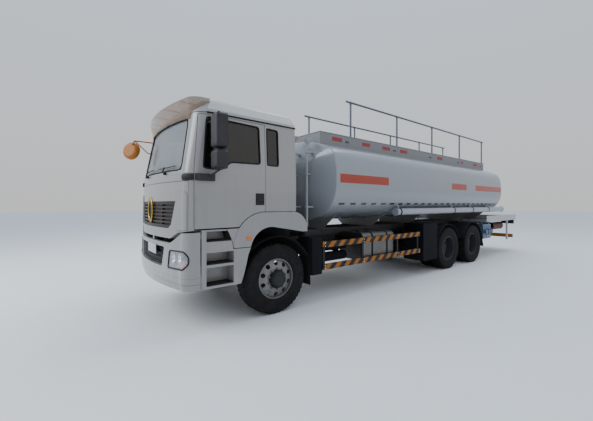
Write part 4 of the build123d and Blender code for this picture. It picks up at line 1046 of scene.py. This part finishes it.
# Steps: ribbed treads, each (height, station of its rear edge)
TREADS = ((0.612, -0.740), (0.885, -0.740), (1.180, -0.782))
treads = []
for z, rear in TREADS:
    treads.append(slab((1.035, st(-1.100), z + 0.001), (1.238, st(rear), z + 0.012), 0.004))
    for k in range(7):
        x = 1.055 + 0.028 * k
        treads.append(slab((x, st(-1.090), z + 0.010), (x + 0.008, st(rear - 0.010), z + 0.017), 0.002, 1))
fit(both(joined(treads)), "step_treads", "chassis", "plastic")

# Oval marker lamps on the fenders
MARKER_PLACE = (1.244, st(-0.510), 1.190)
marker = turned([(0.0, 0.0), (0.0, 0.030), (0.010, 0.030), (0.016, 0.022), (0.018, 0.0)], MARKER_PLACE, 24)
marker.data.transform(about(MARKER_PLACE, Matrix.Diagonal((1, 1.5, 1, 1))))
fit(both(marker), "fender_markers", "cab", "amber")

# Seats: crowned cushions with side bolsters, head rests, and the bunk's mattress
SEAT_X = 0.70
BACK_LEAN = -0.13
BUNK_X = 1.095


def crowned(low, high, edge):
    """A padded block: rounded and subdivided."""
    return modify(slab(low, high, edge, 2), "SUBSURF", levels=1, render_levels=1)


def leaned(piece):
    """The piece turned back about the rear edge of the seats."""
    piece.data.transform(about((0, st(-0.25), 1.88), Matrix.Rotation(BACK_LEAN, 4, "X")))
    return piece


seat_parts = []
bases = []
for x in (SEAT_X, -SEAT_X):
    for x0, x1, rise in ((-0.16, 0.16, 0.0), (-0.245, -0.165, 0.03), (0.165, 0.245, 0.03)):
        seat_parts.append(crowned((x + x0, st(-0.735), 1.765), (x + x1, st(-0.245), 1.880 + rise), 0.035))
        back = crowned((x + x0, st(-0.300) - rise, 1.890), (x + x1, st(-0.190), 2.520), 0.035)
        seat_parts.append(leaned(back))
    seat_parts.append(leaned(crowned((x - 0.13, st(-0.235), 2.545), (x + 0.13, st(-0.145), 2.700), 0.03)))
    bases.append(slab((x - 0.15, st(-0.64), 1.611), (x + 0.15, st(-0.28), 1.762), 0.02))
seats = joined(seat_parts)
fit(seats, "seat_cushions", "cab", "cloth", ("seats",))
bases.append(slab((-BUNK_X, st(-0.040), 1.770), (BUNK_X, st(0.232), 1.850), 0.02))
bases.append(slab((-BUNK_X, st(-0.035), 1.612), (-0.525, st(0.230), 1.765), 0.015))
bases.append(slab((0.525, st(-0.035), 1.612), (BUNK_X, st(0.230), 1.765), 0.015))
fit(joined(bases), "seat_bases", "cab", "inside")
mattress = crowned((-1.080, st(-0.035), 1.852), (1.080, st(0.228), 1.940), 0.03)
fit(mattress, "bunk_mattress", "cab", "cloth")

# Manholes: bolted cover, raised hatch with its clamp, and vents between them
PITCH = 1.592
MANHOLES = [2.600 + PITCH * i for i in range(4)]
LID_TOP = 3.015
LID_BOLTS = 15
HATCH = [(0.0, 0.0), (0.0, 0.150), (0.020, 0.150), (0.034, 0.120), (0.040, 0.0)]
VENT = [
    (0.0, 0.0), (0.0, 0.045), (0.060, 0.045), (0.062, 0.070),
    (0.085, 0.070), (0.105, 0.030), (0.108, 0.0),
]
for i, station in enumerate(MANHOLES):
    y = st(station)
    pin_y = y - 0.195
    hatch = turned_up(HATCH, (0, y - 0.02, LID_TOP), 40)
    clamp = joined((
        slab((-0.012, y - 0.21, LID_TOP + 0.030), (0.012, y + 0.17, LID_TOP + 0.052), 0.004),
        bar((0, pin_y, LID_TOP - 0.004), (0, pin_y, LID_TOP + 0.085), 0.010, 12),
        pipe([(-0.055, pin_y, LID_TOP + 0.085), (0.055, pin_y, LID_TOP + 0.085)], 0.008),
    ))
    bolt = bar((0.205, y, LID_TOP - 0.002), (0.205, y, LID_TOP + 0.014), 0.011, 6, 0.001)
    bolts = repeated(bolt, turns((0, y, 0), LID_BOLTS, "Z", math.radians(12)))
    cover = joined((hatch, clamp, bolts))
    fit(cover, f"manhole_hatch_{i + 1}", f"manhole_{i + 1}", "coaming_paint")
vents = []
for station in MANHOLES:
    y = st(station + 0.62)
    vents.append(turned_up(VENT, (0.30, y, 2.862), 24))
    grip = [(y - 0.15, 2.88), (y - 0.15, 2.93), (y + 0.35, 2.93), (y + 0.35, 2.88)]
    vents.append(pipe([(-0.42, *place) for place in grip], 0.018))
fit(joined(vents), "tank_vents", "chassis", "rail_paint")

# Coaming: turned-out lip, lashing eyes, and sockets at the posts' feet
COAMING_X = 0.720
COAMING_TOP = 3.040
COAMING_ENDS = (1.232, 8.548)
POSTS = [2.090 + PITCH * k for k in range(5)]
POST_X = 0.6907
EYE_Z = 2.925
corners = ((1, 0), (1, 1), (-1, 1), (-1, 0))
lip_line = [(side * COAMING_X, st(COAMING_ENDS[end]), COAMING_TOP) for side, end in corners]
fit(pipe(lip_line, 0.010, 2, True), "coaming_lip", "chassis", "coaming_paint")
eyes = []
for station in POSTS:
    y = st(station) - 0.13
    loop = ((0.719, -0.035), (0.745, -0.030), (0.752, 0.0), (0.745, 0.030), (0.719, 0.035))
    eyes.append(pipe([(x, y + step, EYE_Z) for x, step in loop], 0.006))
    eyes.append(slab((0.718, y - 0.05, EYE_Z - 0.020), (0.724, y + 0.05, EYE_Z + 0.020), 0.002))
fit(both(joined(eyes)), "lashing_eyes", "chassis", "rail_paint")
FOOT_SOCKET = [(0.0, 0.0215), (0.0, 0.030), (0.05, 0.030), (0.055, 0.0215)]
TOP_SOCKET = [(-0.03, 0.0), (-0.03, 0.026), (0.0, 0.028), (0.024, 0.020), (0.024, 0.0)]
collars = []
for station in POSTS:
    collars.append(turned_up(FOOT_SOCKET, (POST_X, st(station), 2.990), 20))
    collars.append(turned_up(TOP_SOCKET, (POST_X, st(station), 3.755), 16))
fit(both(joined(collars)), "rail_collars", "chassis", "rail_paint")

# Tank: drain pipes down the domed front head, held by brackets
HEAD_START = 1.170
HEAD_DEPTH = 0.240
TANK_CENTRE_Z = 2.118
TANK_HALF_WIDTH = 1.262
TANK_HALF_HEIGHT = 0.785
CUP = [(0.0, 0.022), (0.09, 0.085), (0.105, 0.085), (0.105, 0.078), (0.0, 0.012)]


def dome(x, z):
    """Station of the tank's front head at a place across and a height."""
    rise = 1 - (x / TANK_HALF_WIDTH) ** 2 - ((z - TANK_CENTRE_Z) / TANK_HALF_HEIGHT) ** 2
    return HEAD_START - HEAD_DEPTH * max(rise, 0)


drains = []
for x, high in ((0.69, 2.78), (0.35, 2.86)):
    front = dome(x, TANK_CENTRE_Z) - 0.047
    run = [(x, st(front), high), (x, st(front - 0.01), 2.4), (x, st(front - 0.01), 1.26)]
    drains.append(pipe(run, 0.022))
    drains.append(turned_up(CUP, (x, st(front), high - 0.02), 24))
    for z in (1.6, 2.2, 2.6):
        rear = st(dome(x, z) + 0.02)
        drains.append(slab((x - 0.03, st(front - 0.035), z), (x + 0.03, rear, z + 0.03), 0.003))
fit(joined(drains), "drain_pipes", "chassis", "pipe_paint")

# Hose tubes: straps, and a hinged cap with its latch at the rear
TUBE_X, TUBE_Z = 1.165, 1.500
TUBE_STRAPS = (3.10, 5.50, 6.60, 7.70)
STRAP = [(-0.02, 0.0775), (-0.02, 0.0825), (0.02, 0.0825), (0.02, 0.0775), (-0.02, 0.0775)]
TUBE_CAP = [(0.0, 0.0), (0.0, 0.086), (-0.012, 0.086), (-0.020, 0.070), (-0.022, 0.0)]
bands = []
for station in TUBE_STRAPS:
    y = st(station)
    screw_x = TUBE_X + 0.03
    bands.append(turned_front(STRAP, (TUBE_X, y, TUBE_Z), 40))
    bands.append(bar((screw_x, y, TUBE_Z + 0.075), (screw_x, y, TUBE_Z + 0.095), 0.008, 6, 0.001))
fit(both(joined(bands)), "hose_tube_bands", "chassis", "dark_metal")
cap = joined((
    turned_front(TUBE_CAP, (TUBE_X, st(8.862), TUBE_Z), 40),
    slab((TUBE_X - 0.02, st(8.80), TUBE_Z + 0.070), (TUBE_X + 0.02, st(8.885), TUBE_Z + 0.098), 0.004),
    slab((TUBE_X - 0.015, st(8.868), TUBE_Z - 0.095), (TUBE_X + 0.015, st(8.892), TUBE_Z - 0.04), 0.004),
))
fit(both(cap), "hose_tube_caps", "chassis", "chrome")

# Side guards: bolts through the bars and a dark end board
bolts = []
for station in (0.935, 1.925, 3.035, 3.815):
    for z in (0.570, 0.620, 0.950, 1.000):
        bolts.append(bar((1.204, st(station), z), (1.213, st(station), z), 0.010, 6, 0.001))
fit(both(joined(bolts)), "guard_bolts", "chassis", "chrome")
board = slab((1.100, st(0.656), 0.480), (1.196, st(0.885), 1.110), 0.02, 3)
fit(both(board), "guard_end_boards", "chassis", "dark_metal")

# Wheel arches: rubber liners over the front wheels, with a splash wall on the inner side
LINER_RADIUS = 0.640
LINER_X = 0.930
LINER_HALF = 0.260
LINER_ANGLES = (25, 140)


def arch_liner():
    """A curved sheet over a wheel, between two angles counted from the rear."""
    centre = Vector((LINER_X, st(0), AXLE_HEIGHT))
    deselect()
    bpy.ops.mesh.primitive_cylinder_add(
        vertices=96,
        radius=LINER_RADIUS,
        depth=2 * LINER_HALF,
        end_fill_type="NOTHING",
        location=centre,
        rotation=(0, math.pi / 2, 0),
    )
    piece = settle(bpy.context.object)

    def outside(face):
        place = face.calc_center_median() - centre
        turn = math.degrees(math.atan2(place.z, place.y))
        return not LINER_ANGLES[0] < turn < LINER_ANGLES[1]

    pick_faces(piece, outside)
    bpy.ops.mesh.delete(type="FACE")
    bpy.ops.object.mode_set(mode="OBJECT")
    return soft(modify(piece, "SOLIDIFY", thickness=0.006, offset=1))


liner = arch_liner()
splash = slab((0.664, st(-0.48), 0.95), (0.672, st(0.585), 1.50), 0.002, 1)
fit(both(joined((liner, splash))), "wheel_arch_liners", "chassis", "rubber")

# Fuel tank: straps round it with their bolts, and a filler cap
FUEL_CORNERS = ((1.030, 1.015, 0), (0.560, 1.015, 90), (0.560, 0.650, 180), (1.030, 0.650, 270))
FUEL_CORNER_RADIUS = 0.091
FUEL_CAP = [(0.0, 0.0), (0.0, 0.060), (0.030, 0.058), (0.036, 0.050), (0.036, 0.0)]


def strap_line(y):
    """A closed line round the tank's rounded section."""
    points = []
    for x, z, start in FUEL_CORNERS:
        for step in range(5):
            turn = math.radians(start + 22.5 * step)
            reach = FUEL_CORNER_RADIUS * Vector((math.cos(turn), 0, math.sin(turn)))
            points.append(Vector((x, y, z)) + reach)
    return points


straps = []
for station in (2.270, 2.740):
    y = st(station)
    strap = pipe(strap_line(y), 0.006, 2, True)
    strap.data.transform(about((0, y, 0), Matrix.Diagonal((1, 4.5, 1, 1))))
    straps.append(strap)
    straps.append(bar((1.123, y, 0.70), (1.139, y, 0.70), 0.012, 6, 0.002))
fit(joined(straps), "fuel_tank_straps", "chassis", "rubber")
filler = turned_up(FUEL_CAP, (0.90, st(2.11), 1.104), 28)
fit(filler, "fuel_cap", "chassis", "plastic")

# Battery box: ribbed lid with its catch
lid = [slab((-1.128, st(2.002), 0.880), (-0.472, st(2.808), 0.934), 0.010, 3)]
for k in range(5):
    y = st(2.10 + 0.15 * k)
    lid.append(slab((-1.09, y, 0.930), (-0.51, y + 0.05, 0.942), 0.005))
lid.append(slab((-1.130, st(2.36), 0.80), (-1.118, st(2.44), 0.90), 0.004))
fit(joined(lid), "battery_lid", "chassis", "plastic")

# Valve unit: outlet caps with their levers, hand valves, gauges and cable ducts
OUTLETS = (7.490, 7.680, 7.870)
OUTLET_Z = 0.820
OUTLET_CAP = [(0.0, 0.0), (-0.035, 0.0), (-0.035, 0.064), (0.0, 0.068), (0.012, 0.060), (0.012, 0.0)]
GAUGE = [(0.0, 0.0), (0.0, 0.020), (0.012, 0.020), (0.018, 0.0)]
valves = []
for station in OUTLETS:
    y = st(station)
    valves.append(turned(OUTLET_CAP, (1.252, y, OUTLET_Z), 32))
    for lift in (-0.076, 0.076):
        z = OUTLET_Z + lift
        valves.append(slab((1.225, y - 0.010, z - 0.012), (1.262, y + 0.010, z + 0.012), 0.004))
    lever = [(1.130, y + 0.05, 1.035), (1.150, y + 0.05, 1.080), (1.200, y + 0.02, 1.094)]
    valves.append(pipe(lever, 0.009))
    valves.append(turned(GAUGE, (1.179, y, 0.960), 20))
valves.append(slab((1.176, st(7.420), 0.640), (1.184, st(7.940), 0.710), 0.004))
for k in range(4):
    x = 0.98 + 0.055 * k
    y = st(7.45 + 0.14 * k)
    valves.append(bar((x, y, 1.038), (x, y, 1.098), 0.026, 20))
fit(joined(valves), "valve_fittings", "chassis", "pump_paint")

# Hose reel: hose in close turns on its drum
REEL_X, REEL_Z, HOSE_REACH = 0.960, 0.930, 0.112
REEL_START, HOSE_PITCH, HOSE_TURNS = 8.464, 0.0248, 32
CORNERS_PER_TURN = 18
angles = [2 * math.pi * j / CORNERS_PER_TURN for j in range(CORNERS_PER_TURN)]
hose = []
for k in range(HOSE_TURNS):
    y = st(REEL_START + HOSE_PITCH * k)
    ring = [(REEL_X + HOSE_REACH * math.cos(a), y, REEL_Z + HOSE_REACH * math.sin(a)) for a in angles]
    hose.append(pipe(ring, 0.012, 1, True))
fit(joined(hose), "reel_hose", "chassis", "drum_paint")

# Studio: pale floor, a sky that is cooler overhead, and four soft lights
LIGHTS = (
    ((-3, -13, 8), 950, 7, (0.88, 0.94, 1.0)),
    ((1, 3, 15), 760, 9, (0.84, 0.92, 1.0)),
    ((13, 3, 6), 120, 8, (1.0, 0.88, 0.76)),
    ((-12, 4, 8), 300, 9, (1.0, 0.95, 0.90)),
)
deselect()
bpy.ops.mesh.primitive_plane_add(size=160, location=(0, 0, 0))
floor = bpy.context.object
floor.name = "floor"
ground = Finish("floor", (0.80, 0.80, 0.80), 0.9)
ground.set(base_color=ground.blend(ground.noise(0.6, 2), (0.82, 0.82, 0.82), (0.78, 0.78, 0.78)))
floor.data.materials.append(ground.material)
floor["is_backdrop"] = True
world = bpy.data.worlds.new("studio")
bpy.context.scene.world = world
world.use_nodes = True
background = world.node_tree.nodes["Background"]
background.inputs["Strength"].default_value = 0.74
direction = world.node_tree.nodes.new("ShaderNodeTexCoord")
height = world.node_tree.nodes.new("ShaderNodeSeparateXYZ")
sky = world.node_tree.nodes.new("ShaderNodeValToRGB")
sky.color_ramp.elements[0].color = (0.96, 0.965, 0.97, 1)
sky.color_ramp.elements[1].color = (0.98, 1.22, 1.5, 1)
world.node_tree.links.new(direction.outputs["Generated"], height.inputs[0])
world.node_tree.links.new(height.outputs["Z"], sky.inputs[0])
world.node_tree.links.new(sky.outputs[0], background.inputs["Color"])
for place, power, size, colour in LIGHTS:
    light = bpy.data.lights.new("soft light", "AREA")
    light.energy = power
    light.size = size
    light.color = colour
    lamp = bpy.data.objects.new("soft light", light)
    bpy.context.collection.objects.link(lamp)
    lamp.location = place
    lamp.rotation_euler = (UP - Vector(place)).to_track_quat("-Z", "Y").to_euler()

low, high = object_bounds()
